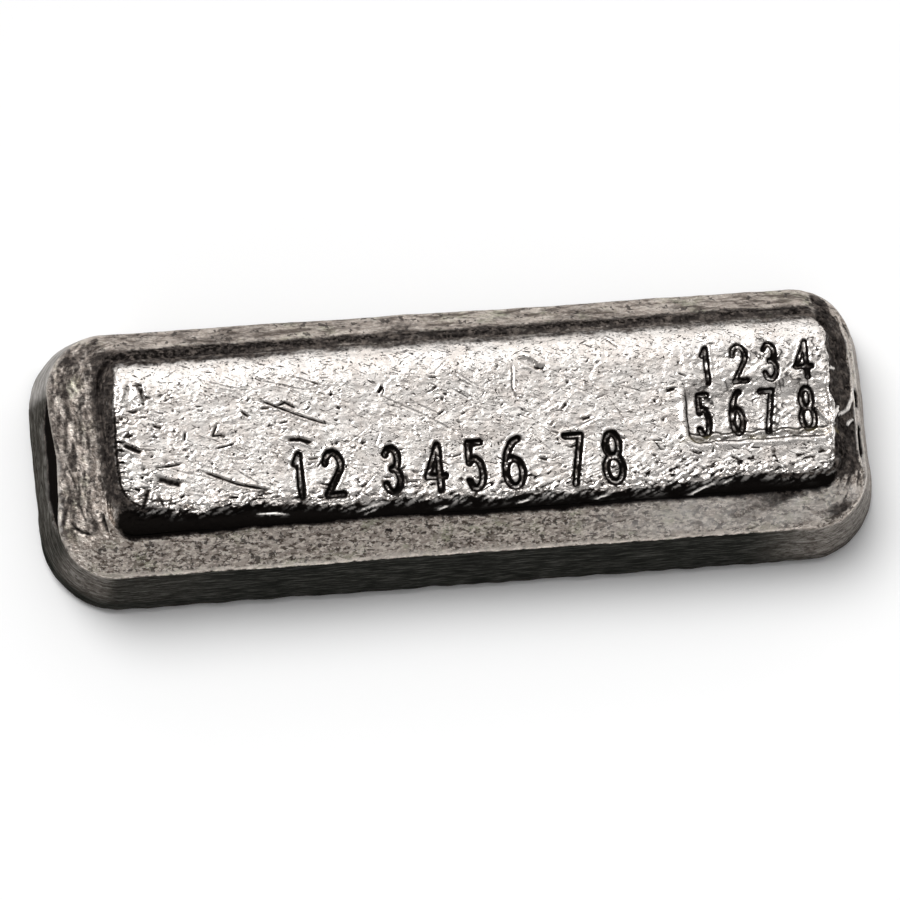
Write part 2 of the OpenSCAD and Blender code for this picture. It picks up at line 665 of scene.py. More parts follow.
@dataclass(frozen=True)
class Handling:
    """The marks that years of handling left on the struck face."""

    marks: tuple[Scratch, ...] = (
        Scratch(((-23.0, 4.4), (-18.4, 2.2), (-14.9, 0.8)), 0.17, 0.12, 0.05, 0.95),
        Scratch(((-9.7, 3.9), (-5.0, 1.4), (-1.6, -0.8)), 0.14, 0.07, dark=0.3),
        Scratch(((-29.8, -3.1), (-25.8, -4.9), (-22.3, -5.8)), 0.2, 0.15, 0.06, 0.95),
        Scratch(((-37.9, 0.3), (-36.9, -0.1), (-35.8, -0.7)), 0.34, 0.26, 0.08, 1.0),
        Scratch(((-34.7, -2.4), (-33.2, -2.4), (-31.6, -2.2)), 0.16, 0.12, dark=0.95),
        Scratch(((-20.1, -0.3), (-18.6, -0.4), (-17.2, -0.9)), 0.32, 0.26, 0.07, 1.0),
        Scratch(((6.3, 7.0), (7.4, 6.4), (8.6, 5.6)), 0.45, 0.22, dark=0.35),
        Scratch(((7.7, 5.9), (8.6, 5.6), (8.9, 5.9)), 0.22, 0.14, dark=0.9),
        Scratch(((15.9, 8.7), (16.6, 8.0), (17.4, 7.3)), 0.15, 0.10),
        Scratch(((-27.4, 2.0), (-28.1, 0.6), (-26.6, 0.7)), 0.17, 0.12, dark=0.95),
        Scratch(((-27.9, -0.8), (-26.6, -0.6), (-25.6, -0.3)), 0.15, 0.11, dark=0.9),
        Scratch(((-31.0, 1.3), (-31.2, 0.2)), 0.16, 0.12, dark=0.95),
        Scratch(((-35.4, -4.4), (-36.0, -6.0), (-36.6, -7.2)), 0.34, 0.22, dark=0.9),
        Scratch(((-34.6, -5.4), (-34.0, -6.9)), 0.22, 0.14, dark=0.8),
        Scratch(((-33.0, -5.6), (-33.9, -7.8)), 0.13, 0.10),
        Scratch(((-34.6, -3.6), (-32.9, -4.2), (-31.7, -4.5)), 0.42, 0.24, dark=0.9),
        Scratch(((-20.9, 3.4), (-19.9, 3.8), (-18.6, 3.0)), 0.2, 0.15, dark=0.95),
        Scratch(((-29.6, 7.2), (-26.2, 6.0), (-24.6, 5.6)), 0.13, 0.06, dark=0.4),
        Scratch(((-24.4, 7.0), (-20.4, 5.8), (-17.4, 4.9)), 0.13, 0.05, dark=0.3),
        Scratch(((-22.4, 7.3), (-18.0, 6.3), (-15.8, 5.4)), 0.12, 0.05, dark=0.3),
        Scratch(((5.4, 6.4), (5.1, 3.6), (5.6, 2.2)), 0.14, 0.09, dark=0.7),
        Scratch(((-1.0, 5.4), (0.6, 4.2)), 0.12, 0.07, dark=0.6),
        Scratch(((-0.6, 5.6), (1.2, 4.2)), 0.10, 0.06, dark=0.5),
        Scratch(((-1.4, 4.0), (0.4, 2.8)), 0.12, 0.07, dark=0.6),
        Scratch(((-1.0, 4.1), (0.8, 2.8)), 0.10, 0.06, dark=0.5),
        Scratch(((-36.0, 7.2), (-35.4, 6.2), (-35.1, 4.6)), 0.30, 0.16, dark=0.7),
        Scratch(((-36.4, 7.0), (-36.9, 5.2), (-36.2, 3.4)), 0.55, 0.16, dark=0.1),
        Scratch(((-35.7, 6.9), (-35.1, 6.7)), 0.18, 0.14, dark=0.9),
    )
    hairlines: int = 90
    nicks: int = 300
    pits: int = 330

    def leave(self, skin: Skin) -> None:
        """Leave every mark on the surface.

        Args:
            skin: The surface.
        """
        for mark in self.marks:
            mark.cut(skin)
        draw = np.random.default_rng(7)
        for _ in range(self.hairlines):
            self.hairline(draw).cut(skin)
        for _ in range(self.nicks):
            self.nick(draw).cut(skin)
        for _ in range(self.pits):
            at = self.spot(draw)
            radius = 0.09 + 0.24 * draw.random() ** 2.5
            Dent(at, radius, 0.55 * radius * draw.uniform(0.5, 1.0), draw.uniform(0.3, 1.0)).press(skin)

    def spot(self, draw: np.random.Generator) -> Point:
        """Draw a place on the struck face, more often near its front and ends.

        Args:
            draw: The source of chance.

        Returns:
            The place.
        """
        x, y = draw.uniform(-38, 40), draw.uniform(-8.0, 6.2)
        if draw.random() < 0.3:
            y = -8.0 + 5.0 * draw.random() ** 1.5
        if draw.random() < 0.12:
            x = -38.2 + 4.0 * draw.random()
        return x, y

    def hairline(self, draw: np.random.Generator) -> Scratch:
        """Draw one long fine scratch, most of them falling to the right.

        Args:
            draw: The source of chance.

        Returns:
            The scratch.
        """
        x, y = self.spot(draw)
        slope = draw.normal(-0.42, 0.15) if draw.random() < 0.75 else draw.uniform(-1.5, 1.5)
        length = 1.0 + 4.0 * draw.random() ** 2
        bend = draw.normal(0, 0.06)
        half = step_from((x, y), slope, 0.5 * length)
        end = step_from(half, slope + bend, 0.5 * length)
        width = draw.uniform(0.07, 0.11)
        return Scratch(((x, y), half, end), width, 0.5 * width, 0.02, draw.uniform(0.1, 0.6))

    def nick(self, draw: np.random.Generator) -> Scratch:
        """Draw one short dark nick, most of them nearly level.

        Args:
            draw: The source of chance.

        Returns:
            The nick.
        """
        x, y = self.spot(draw)
        slope = draw.normal(0.0, 0.4) if draw.random() < 0.75 else draw.uniform(-1.5, 1.5)
        length = 0.25 + 1.1 * draw.random() ** 2
        end = step_from((x, y), slope, length)
        width = 0.09 + 0.13 * draw.random() ** 2
        return Scratch(((x, y), end), width, 0.8 * width, 0.3 * width, draw.uniform(0.6, 1.0))


def bow(
    centre: Point, radii: Point, start: float, stop: float, steps: int = 14
) -> tuple[Point, ...]:
    """Draw part of an oval as a line.

    Args:
        centre: The oval's middle.
        radii: Its half width and half height.
        start: The first angle in degrees, anticlockwise from the right.
        stop: The last angle in degrees.
        steps: How many straight steps it has.

    Returns:
        The line's corners.
    """
    angles = [math.radians(start + (stop - start) * i / steps) for i in range(steps + 1)]
    return tuple(
        (centre[0] + radii[0] * math.cos(a), centre[1] + radii[1] * math.sin(a)) for a in angles
    )


class Numeral(Enum):
    """Punches for the counting numerals in order, each drawn in a box one wide and one high."""

    ONE = (((0.1, 0.78), (0.5, 1.0), (0.5, 0.0)),)
    TWO = (bow((0.5, 0.72), (0.44, 0.28), 175, -35) + ((0.06, 0.0), (0.94, 0.0)),)
    THREE = (
        bow((0.45, 0.76), (0.40, 0.24), 155, -90),
        bow((0.45, 0.27), (0.46, 0.27), 90, -160),
    )
    FOUR = (((0.70, 0.0), (0.70, 1.0), (0.04, 0.30), (0.98, 0.30)),)
    FIVE = (((0.88, 1.0), (0.2, 1.0), (0.14, 0.56)) + bow((0.46, 0.33), (0.44, 0.33), 125, -150),)
    SIX = (
        bow((0.5, 0.3), (0.44, 0.3), 0, 360, 24),
        bow((0.92, 0.32), (0.86, 0.70), 98, 180),
    )
    SEVEN = (((0.04, 1.0), (0.94, 1.0), (0.38, 0.0)),)
    EIGHT = (
        bow((0.5, 0.76), (0.36, 0.24), 0, 360, 20),
        bow((0.5, 0.27), (0.45, 0.27), 0, 360, 24),
    )


@dataclass(frozen=True)
class Strike:
    """A row of numerals punched into the struck face.

    Spans are the numerals' left and right limits, and bottom is the row's foot at its two ends.
    """

    numerals: tuple[Numeral, ...]
    spans: tuple[Point, ...]
    top: float
    bottom: tuple[float, float]
    stroke: float = 0.46
    depth: float = 0.46

    def punch(self, skin: Skin) -> None:
        """Punch every numeral of the row.

        Args:
            skin: The surface.
        """
        first, last = self.spans[0][0], self.spans[-1][1]
        for number, (numeral, (left, right)) in enumerate(zip(self.numerals, self.spans)):
            share = ((left + right) / 2 - first) / (last - first)
            low = self.bottom[0] + share * (self.bottom[1] - self.bottom[0]) + self.stroke
            high = self.top - self.stroke
            inner = (left + self.stroke, right - self.stroke)
            lines = [
                [(inner[0] + u * (inner[1] - inner[0]), low + v * (high - low)) for u, v in line]
                for line in numeral.value
            ]
            self.sink(skin, lines, 60 + number)

    def sink(self, skin: Skin, lines: list[Line], seed: int) -> None:
        """Sink one numeral's strokes: steep dark walls, a thin floor and a torn raised lip.

        Args:
            skin: The surface.
            lines: The strokes.
            seed: Picks how its edges tear.
        """
        corners = [corner for line in lines for corner in line]
        which = skin.near(corners, 1.6, above=11.0)
        x, y = skin.x[which], skin.y[which]
        gap = np.min([distance_to_line(x, y, line)[0] for line in lines], axis=0)
        spot = skin.place[which]
        gap = gap + 0.07 * cloud(spot, 0.7, seed) + 0.03 * cloud(spot, 0.3, seed + 20)
        inside = ease(self.stroke + 0.02, 0.12, gap)
        torn = 0.5 + 0.9 * cloud(spot, 0.9, seed + 40).clip(-0.5, 1)
        lip = 0.085 * hill(self.stroke + 0.16, 0.13, gap) * torn
        dished = -0.07 * hill(self.stroke, 0.9, gap)
        deep = self.depth * (1 + 0.15 * cloud(spot, 1.5, seed + 60))
        skin.place[which, 2] += lip + dished - deep * inside
        # Painted shade: the stroke walls are painted dark, less on the stroke floor, and a patchy halo of
        # shade is painted round the strokes.
        dark = 0.98 * ease(self.stroke + 0.1, self.stroke - 0.1, gap)
        shown = ease(-0.6, 0.1, cloud(spot, 1.3, seed + 80))
        dark *= 1 - 0.62 * ease(0.17, 0.07, gap) * shown
        shade_halo = 0.45 * hill(self.stroke, 0.45, gap)
        shade_halo *= ease(0.0, 0.5, cloud(spot, (1.6, 0.7, 1), seed + 90))
        skin.darken(np.maximum(dark, shade_halo), which)
        skin.gleam[which] *= ease(self.stroke, self.stroke + 0.25, gap)


@dataclass(frozen=True)
class StampFrame:
    """The shallow frame that the small box punch left round its two rows."""

    left: float = 24.0
    right: float = 39.9
    low: float = -3.9
    high: float = 7.6
    corner: float = 1.2
    depth: float = 0.4

    def press(self, skin: Skin) -> None:
        """Press the frame's floor, with a wavy double step along its lower side.

        Args:
            skin: The surface.
        """
        which = skin.near([(self.left, self.low), (self.right, self.high)], 1.5)
        x, y = skin.x[which], skin.y[which]
        spot = skin.place[which]
        middle_x, middle_y = (self.left + self.right) / 2, (self.low + self.high) / 2
        half_x = (self.right - self.left) / 2 - self.corner
        half_y = (self.high - self.low) / 2 - self.corner
        over_x, over_y = np.abs(x - middle_x) - half_x, np.abs(y - middle_y) - half_y
        outside = np.hypot(np.maximum(over_x, 0), np.maximum(over_y, 0))
        gap = outside + np.minimum(np.maximum(over_x, over_y), 0) - self.corner
        gap = gap + 0.12 * cloud(spot, 1.6, 81)
        creases = ridges(spot, (0.9, 0.6, 1.0), 85)
        strength = ease(3.5, 0.5, y)
        inside = ease(0.08, -0.14, gap) * strength
        lumps = 0.07 * cloud(spot, 1.2, 82) + 0.05 * (creases - 0.4)
        lumps *= ease(0.1, -0.4, gap)
        wavy = -y + self.low + 0.75 + 0.14 * np.sin(2.4 * x) + 0.1 * cloud(spot, 1.0, 83)
        step = 0.26 * hill(0.0, 0.19, wavy) * ease(0.1, -0.1, gap)
        lip = 0.13 * hill(0.38, 0.32, gap) * strength
        skin.place[which, 2] += lip + step + lumps - self.depth * inside
        # Painted shade along the frame's rim and under its lower step.
        rim = hill(-0.06, 0.16, gap) * strength * ease(39.2, 38.2, x + 0.4 * np.minimum(y + 3.0, 0))
        under = hill(-0.27, 0.17, wavy) * ease(0.1, -0.1, gap)
        skin.darken(np.maximum(rim, under), which)
        patches = ease(0.1, 0.5, cloud(spot, (2.6, 0.7, 2.0), 84))
        stain = 0.35 * patches * hill(self.low + 0.45, 0.4, y)
        skin.stain[which] = np.maximum(skin.stain[which], stain)
        crevices = ease(0.62, 0.85, creases) * ease(0.0, 0.3, cloud(spot, 1.6, 86))
        crevices *= 0.9 * ease(0.1, -0.4, gap)
        skin.darken(crevices, which)
        # Painted highlight: a pale line along the lower step.
        band = 0.85 * hill(0.38, 0.24, gap) * ease(self.low + 0.6, self.low, y)
        polished = 0.35 * ease(0.0, -0.5, gap) * (1 - np.maximum(crevices, np.maximum(rim, under)))
        band = np.maximum(band, polished)
        skin.brighten(band, which)


@dataclass(frozen=True)
class Fault:
    """One fold, ridge or glint ridge: where it runs, how wide, how deep or high, and how dark.

    A darkness past 1 widens the part that is quite black. A glint ridge marks nothing below above.
    """

    line: Line
    width: float
    depth: float
    dark: float = 0.0
    above: float = 11.0


@dataclass(frozen=True)
class CastFaults:
    """The faults of the pour: the lap at the left end, the folds, and the cracks at the right."""

    fold_marks: tuple[Fault, ...] = (
        Fault(((-44.0, -7.0), (-42.9, -8.1), (-41.6, -8.8)), 0.20, 0.30, 0.9),
        Fault(((-40.6, -6.4), (-40.4, -7.6), (-40.0, -8.9)), 0.24, 0.26, 0.9),
        Fault(((-43.4, -1.5), (-42.8, -4.0), (-42.6, -5.5)), 0.13, 0.10, 0.6),
        Fault(((-42.4, -2.4), (-42.0, -4.8)), 0.13, 0.10, 0.6),
        Fault(((-10.0, -10.4), (-8.9, -10.6)), 0.24, 0.18, 0.8),
        Fault(((2.0, -11.8), (3.4, -11.9)), 0.15, 0.08, 0.5),
        Fault(((44.0, 2.2), (44.12, 1.2), (44.14, 0.6), (44.0, -0.3)), 0.36, 0.3, 1.7),
        Fault(
            ((44.05, -1.6), (43.9, -3.0), (43.85, -4.2), (43.86, -5.2), (43.95, -6.2)), 0.3, 0.24, 1.7
        ),
        Fault(((43.3, 9.6), (43.9, 8.4), (44.1, 7.4)), 0.16, 0.1, 0.8),
    )
    ridge_marks: tuple[Fault, ...] = (
        Fault(((38.6, -0.9), (39.2, -1.8), (39.8, -2.4), (40.5, -1.6), (41.1, -0.6)), 0.141, 0.26),
        Fault(((39.8, -2.4), (39.9, -3.6), (39.6, -4.8)), 0.12, 0.20),
        Fault(((41.3, -1.3), (42.1, -0.9), (42.8, -0.2), (43.3, 0.7), (43.5, 2.0)), 0.127, 0.22),
        Fault(((42.2, -2.4), (42.8, -1.8), (43.3, -1.6)), 0.092, 0.12),
        Fault(((40.4, 3.6), (41.3, 3.9)), 0.085, 0.10),
    )
    glint_ridge_marks: tuple[Fault, ...] = (
        Fault(((23.4, -9.3), (25.2, -8.6), (26.6, -8.2)), 0.13, 0.06, above=10.9),
        Fault(((27.2, -8.4), (28.4, -8.0)), 0.10, 0.06, above=11.2),
        Fault(((-13.0, -8.6), (-11.4, -8.1), (-9.8, -7.9)), 0.11, 0.06),
        Fault(((-12.2, -8.9), (-10.8, -8.4)), 0.09, 0.06),
        Fault(((-24.0, -8.1), (-21.8, -8.2), (-20.6, -8.4)), 0.10, 0.06),
        Fault(((-4.2, -8.9), (-3.0, -8.7)), 0.10, 0.06),
        Fault(((4.4, -8.9), (6.0, -8.6)), 0.10, 0.06),
        Fault(((13.0, -9.0), (14.6, -8.7)), 0.10, 0.06),
    )

    def mark(self, skin: Skin) -> None:
        """Work every fault into the surface.

        Args:
            skin: The surface.
        """
        self.lap(skin)
        self.folds(skin)
        self.cracks(skin)
        self.flow(skin)

    def lap(self, skin: Skin) -> None:
        """Fold the left end under its brim, where one splash froze before the next.

        Args:
            skin: The surface.
        """
        x, y, z = skin.x, skin.y, skin.z
        at_end = ease(-42.6, -44.0, x)
        reach = ease(8.4, 4.0, y) * ease(-9.5, -4.0, y)
        dent = 0.5 * hill(0.3, 4.6, y) * hill(7.9, 1.5, z) * at_end
        skin.place[:, 0] += dent
        top = 8.0 + 0.12 * skin.noise(2.5, 91)
        floor = top - 2.3 * reach + 0.3 * skin.noise((1.0, 1.6, 1.0), 93)
        slit = ease(floor - 0.1, floor + 0.15, z) * ease(top + 0.1, top - 0.1, z) * at_end
        slit *= ease(0.05, 0.3, reach)
        bulge = ease(0.5, 2.0, z) * ease(floor + 0.1, floor - 0.8, z) * at_end * reach
        streaks = 0.14 * skin.noise((0.5, 2.6, 0.45), 94) * bulge
        skin.raise_along_normal(0.25 * bulge + streaks - 0.22 * slit)
        # Painted shade: the slit under the brim is painted black.
        skin.darken(slit)
        broken = ease(-0.2, 0.2, skin.noise((1.0, 0.9, 1.0), 92))
        edge = hill(floor - 0.12, 0.12, z) * at_end * ease(0.2, 0.6, reach) * broken
        beads = hill(top + 0.2, 0.16, z) * at_end * ease(2.0, -2.0, y) * ease(-9.5, -7.5, y)
        beads *= ease(-0.2, 0.2, skin.noise((1.0, 0.5, 1.0), 95))
        skin.raise_along_normal(0.12 * edge)
        skin.brighten(np.maximum(0.1 * edge, 0.5 * beads))

    def folds(self, skin: Skin) -> None:
        """Cut the short folds into the shoulder, and the slits into the right rim, painted dark inside as
        shade.

        Args:
            skin: The surface.
        """
        for fold in self.fold_marks:
            which = skin.near(fold.line, 4 * fold.width, above=8.0)
            gap, along = distance_to_line(skin.x[which], skin.y[which], fold.line)
            taper = np.minimum(1.0, 4.0 * np.minimum(along, 1 - along) + 0.15)
            cut = taper * np.maximum(0, 1 - (gap / fold.width) ** 2)
            lips = taper * hill(1.4, 0.4, gap / fold.width)
            skin.raise_along_normal(fold.depth * (0.2 * lips - cut), which)
            # Painted shade inside each cut.
            skin.darken(fold.dark * cut, which)

    def cracks(self, skin: Skin) -> None:
        """Raise the pale crooked ridges at the right end, and crack the wall below them, the crack
        painted black as shade.

        Args:
            skin: The surface.
        """
        for crack in self.ridge_marks:
            which = skin.near(crack.line, 1.0, above=7.5)
            gap, along = distance_to_line(skin.x[which], skin.y[which], crack.line)
            gap = gap + 0.10 * cloud(skin.place[which], 0.7, 95)
            ridge = hill(0.0, crack.width + 0.05 * np.sin(math.pi * along), gap)
            skin.raise_along_normal(crack.depth * ridge - 0.07 * hill(0.4, 0.16, gap), which)
            skin.brighten(ease(0.2, 0.7, ridge), which)
        self.glint_ridges(skin)
        x, y, z = skin.x, skin.y, skin.z
        at_end = ease(42.5, 43.8, x) * ease(3.4, 2.4, y) * ease(-7.6, -6.0, y)
        broken = ease(-0.5, -0.1, skin.noise((2.0, 0.9, 2.0), 96))
        middle = 6.4 + 0.05 * y + 0.5 * skin.noise((2.0, 1.8, 2.0), 97)
        wide = 0.1 + 0.14 * np.maximum(hill(0.9, 1.2, y), hill(-4.6, 1.6, y))
        split = ease(wide + 0.12, wide - 0.06, np.abs(z - middle)) * at_end * broken
        skin.raise_along_normal(-0.12 * split)
        # Painted shade: the crack is painted black.
        skin.darken(split)

    def glint_ridges(self, skin: Skin) -> None:
        """Raise thin ridges on the dark front of the block, painted bright as glints.

        Args:
            skin: The surface.
        """
        for glint_ridge in self.glint_ridge_marks:
            which = skin.near(glint_ridge.line, 1.0, above=glint_ridge.above)
            gap, along = distance_to_line(skin.x[which], skin.y[which], glint_ridge.line)
            gap = gap + 0.08 * cloud(skin.place[which], 0.6, 121)
            shown = np.minimum(ease(0.0, 0.3, along) * ease(1.0, 0.7, along) + 0.2, 1.0)
            ridge = ease(glint_ridge.width, 0.4 * glint_ridge.width, gap) * shown
            skin.raise_along_normal(glint_ridge.depth * ridge, which)
            # Painted highlight: each ridge is painted bright as a glint.
            skin.brighten(ridge, which)

    def flow(self, skin: Skin) -> None:
        """Wrinkle the shoulder and walls as the metal froze, finest at the corners.

        Args:
            skin: The surface.
        """
        spot = skin.place
        margin = skin.body.margin(skin.x, skin.y)
        shoulder = ease(7.6, 8.4, skin.z) * ease(6.2, 5.2, margin)
        at_ends = ease(36.0, 40.0, np.abs(skin.x))
        wrinkles = 0.03 * cloud(spot, 0.6, 98) + 0.06 * cloud(spot, 1.7, 99)
        rings = (0.04 + 0.03 * at_ends) * cloud(spot * (0.22, 0.22, 2.0), 1.0, 100)
        lumps = 0.05 * at_ends * cloud(spot, (0.8, 3.2, 2.6), 107)
        walls = ease(8.4, 7.6, skin.z) * ease(0.2, 0.8, skin.z)
        grain = 0.04 * cloud(spot * (0.3, 0.3, 2.0), 0.8, 101) + 0.02 * cloud(spot, 0.8, 102)
        top = ease(12.0, 12.6, skin.z)
        strip = ease(-3.0, -6.5, skin.y + 0.8 * cloud(spot, 3.0, 110))
        patch = 0.2 + 0.8 * ease(-0.2, 0.5, cloud(spot, (7.0, 4.0, 7.0), 108))
        sway = 1.2 * cloud(spot, (4.0, 3.0, 4.0), 115)
        lean = 0.12 + 0.2 * ease(-14.0, 0.0, skin.x)
        bent = np.stack([skin.x + sway, skin.y + 0.5 * sway - lean * skin.x, skin.z], axis=1)
        folds = (ridges(bent, (1.9, 0.42, 1.0), 109) - 0.35) * (0.042 * strip + 0.03 * patch)
        folds *= 0.55 + 0.45 * ease(-12.0, 6.0, skin.x)
        crumbs = 0.022 * (0.3 + 0.7 * patch) * cloud(spot, (0.36, 0.3, 0.4), 103)
        crumbs += 0.03 * ridges(spot, 0.9, 116) * ridges(spot, (0.7, 0.5, 0.7), 117)
        face = crumbs + 0.035 * cloud(spot, (1.3, 0.9, 1), 104)
        face += 0.04 * cloud(spot, 4.5, 105) + folds * ease(6.6, 5.0, skin.y)
        near_stamp = ease(16.0, 26.0, skin.x) * ease(7.0, 4.0, skin.y)
        face += 0.05 * cloud(spot, (1.8, 1.1, 1.0), 135) * near_stamp
        under = ease(0.2, 0.0, skin.z)
        base = 0.02 * cloud(spot, 1.5, 106)
        lift = (wrinkles + rings + lumps) * shoulder + grain * walls + face * top + base * under
        skin.raise_along_normal(lift)


@dataclass
class TarnishAndPaintedLight:
    """Painted shade, laid as a dark coat, in the hollows, the crease, the right end and the lower side;
    tarnished streaks and marks; and painted highlights.

    The right limit says how far along the bar the right end's painted shade reaches, for places across
    it.
    """

    skin: Skin
    wear: BlockWear = BlockWear()
    right_limit: tuple[Point, ...] = (
        (-7.4, 43.7), (-6.0, 43.5), (-4.0, 43.3), (0.5, 43.5), (5.6, 43.5), (7.3, 43.4),
        (9.4, 42.9), (10.4, 42.0),
    )
    outside: Array = field(init=False)
    wander: Array = field(init=False)
    drift: Array = field(init=False)
    level: Array = field(init=False)

    def __post_init__(self) -> None:
        """Survey the surface in its final shape: distance outside the face, and three unevennesses.

        Wander is for the limits' raggedness, drift for lumps and level for thin level layers.
        """
        place = self.skin.place
        self.outside = self.wear.outside(self.skin.x, self.skin.y)
        self.wander = 0.25 * cloud(place, 1.2, 111) + 0.15 * cloud(place, 0.5, 112)
        self.drift = cloud(place, (2.2, 2.2, 2.2), 113)
        self.level = cloud(place, (3.0, 0.5, 0.5), 119)

    def settle(self) -> None:
        """Add the painted shade of the large hollows, walls, ends and sides, and the painted highlights,
        to the marks' own darkening.
        """
        self.front_foot()
        self.left_foot()
        self.right_end()
        self.back()
        self.left_end()
        self.hatch()
        self.film_and_shade()
        self.bare()

    def front_foot(self) -> None:
        """Paint the torn foot of the block's front black as shade, and paint bright glints in it, laid as
        bare metal.
        """
        x, y, z = self.skin.x, self.skin.y, self.skin.z
        outside, wander = self.outside, self.wander
        slant = self.skin.slanted(x, y)
        strokes = 0.7 * cloud(slant, (3.0, 0.55, 1.0), 122) + 0.5 * cloud(slant, (1.3, 0.24, 1.0), 136)
        strokes *= 0.5 + 0.7 * ease(-0.4, 0.4, self.drift)
        strokes += 0.5 * self.skin.noise((1.5, 0.8, 1.5), 141)
        foot = ease(0.05, 0.45, outside + 0.5 * wander + 0.5 * strokes) * ease(-6.2, -7.0, y)
        foot *= ease(10.35, 10.65, z + 0.12 * wander) * ease(40.5, 39.7, x)
        foot *= ease(-39.9, -38.6, x - 0.6 * np.maximum(0, -8.2 - y) + 0.6 * wander)
        # Painted shade: the block's front foot is blackened, standing for its dark reflection.
        self.skin.darken(0.98 * foot)
        # Painted highlights: thin bright glints on the black foot.
        glint_slivers = ease(0.18, 0.42, cloud(slant, (2.4, 0.24, 1.0), 123)) * ease(-6.2, -7.0, y)
        glint_slivers *= hill(0.35, 0.4, outside + 0.5 * wander)
        glint_slivers *= 0.45 + 0.4 * ease(-20, 0, x) - 0.3 * ease(18, 28, x)
        self.skin.brighten(0.7 * glint_slivers)

    def left_foot(self) -> None:
        """Paint shade, as a dark coat, on the block's left wall and the back left corner, with a black
        line of shade at the foot.
        """
        x, y, z = self.skin.x, self.skin.y, self.skin.z
        outside, wander = self.outside, self.wander
        to_left, to_back = ease(-30, -36, x), ease(2.0, 8.5, y)
        reach = 1.9 + 1.6 * to_back + 0.25 * self.drift
        wall = ease(0.0, 0.45, outside + 0.4 * wander) * to_left
        wall *= ease(reach + 1.2, reach - 0.8, outside + 0.8 * wander)
        wall *= ease(-8.6, -7.4, y + 0.6 * wander) * (1 - 0.55 * to_back * ease(2.0, 3.2, outside))
        wall *= ease(13.4, 10.6, y)
        # Painted shade on the left wall, then a painted black line of shade along its foot.
        self.skin.darken((0.74 + 0.08 * self.drift) * wall)
        self.skin.darken(0.95 * hill(0.12, 0.22, outside + 0.3 * wander) * to_left * ease(5.5, 3.0, y))
        # Painted shade, streaked, on the back left corner of the shoulder.
        corner = ease(5.0, 9.0, y + 2 * wander) * ease(-37.5, -39.5, x) * ease(7.9, 8.8, z)
        streaked = self.skin.noise((0.5, 2.6, 1.2), 114)
        streaked += 0.5 * self.skin.noise((0.3, 1.4, 0.8), 118)
        self.skin.darken((0.5 + 0.25 * streaked) * corner)

    def right_edge(self) -> Array:
        """Say how far along the bar the right end's painted shade reaches."""
        return np.interp(self.skin.y, *zip(*self.right_limit))

    def right_end(self) -> None:
        """Paint shade, as a dark coat, over the right end of the block and of the shoulder, and darken a
        blotch on the front corner.
        """
        x, y = self.skin.x, self.skin.y
        wander, drift = self.wander, self.drift
        limit = self.right_edge() + 0.35 * self.skin.noise((3.0, 1.3, 3.0), 120)
        end = ease(0.0, 0.12, self.outside + 0.1 * wander) * ease(0.1, -0.1, x - limit + 0.3 * wander)
        end *= ease(-9.0, -8.2, y + 1.6 * wander - 0.35 * (x - 40)) * ease(25, 35, x)
        end *= ease(8.1, 8.5, self.skin.z)
        # Painted shade: the right end is darkened, standing for the dark reflection it shows.
        self.skin.darken((0.72 + 0.12 * drift + 0.06 * self.level) * end)
        self.skin.darken(0.7 * hill(39.8, 1.6, x) * hill(-11.3, 0.9, y) * ease(-0.2, 0.4, drift + wander))

    def back(self) -> None:
        """Paint shade, as a dark coat, on the block's back wall, the crease under it and the shoulder
        beyond.
        """
        x, y, z = self.skin.x, self.skin.y, self.skin.z
        wander, level = self.wander, self.level
        along = ease(-40.5, -38.5, x) * ease(42, 39, x)
        wall = ease(8.45, 9.6, y + 0.9 * wander) * ease(10.2, 10.6, z)
        wall *= ease(3.3, 4.0, self.skin.body.margin(x, y))
        wall *= (0.56 + 0.18 * ease(9.7, 10.6, y) + 0.2 * level + 0.14 * ease(-16, -26, x)) * along
        # Painted shade on the back wall, in the crease and on the back shoulder.
        self.skin.darken(np.minimum(wall, 0.8))
        self.skin.darken(0.84 * hill(10.95, 0.3, y + 0.5 * wander) * ease(10.0, 10.4, z) * along)
        above = hill(11.2, 0.5, y + 0.6 * wander) * ease(8.8, 9.6, z) * along
        self.skin.darken((0.5 + 0.2 * level) * above)
        far = ease(10.3, 11.6, y) * self.skin.above_brim()
        self.skin.darken((0.30 + 0.14 * self.drift + 0.04 * ease(-10, -30, x)) * far)

    def left_end(self) -> None:
        """Draw the dark and pale streaks that run across the left end's shoulder, over painted shade that
        darkens it.
        """
        x, y, z = self.skin.x, self.skin.y, self.skin.z
        west = ease(-39.6, -41.4, x + 0.6 * self.wander) * self.skin.above_brim()
        sway = 0.7 * self.skin.noise((2.0, 3.0, 2.0), 127)
        bent = np.stack([x + sway, y, z + 0.4 * sway], axis=1)
        lines = cloud(bent, (0.42, 3.4, 0.5), 128) + 0.5 * cloud(bent, (0.22, 1.8, 0.3), 129)
        inner = west * ease(-10.5, -7.5, y)
        pale = ease(0.1, 0.6, -lines) * (0.01 + 0.06 * ease(-42.6, -43.6, x))
        self.skin.brighten(pale * inner * ease(8.0, 6.0, y))
        # Painted shade darkens the left end's shoulder under its streaks.
        self.skin.darken((0.51 + 0.32 * np.clip(lines, -0.8, 1.0)) * inner)
        self.skin.drawn = west * ease(-11.5, -8.0, y) + ease(10.0, 11.4, y) * (1 - west)

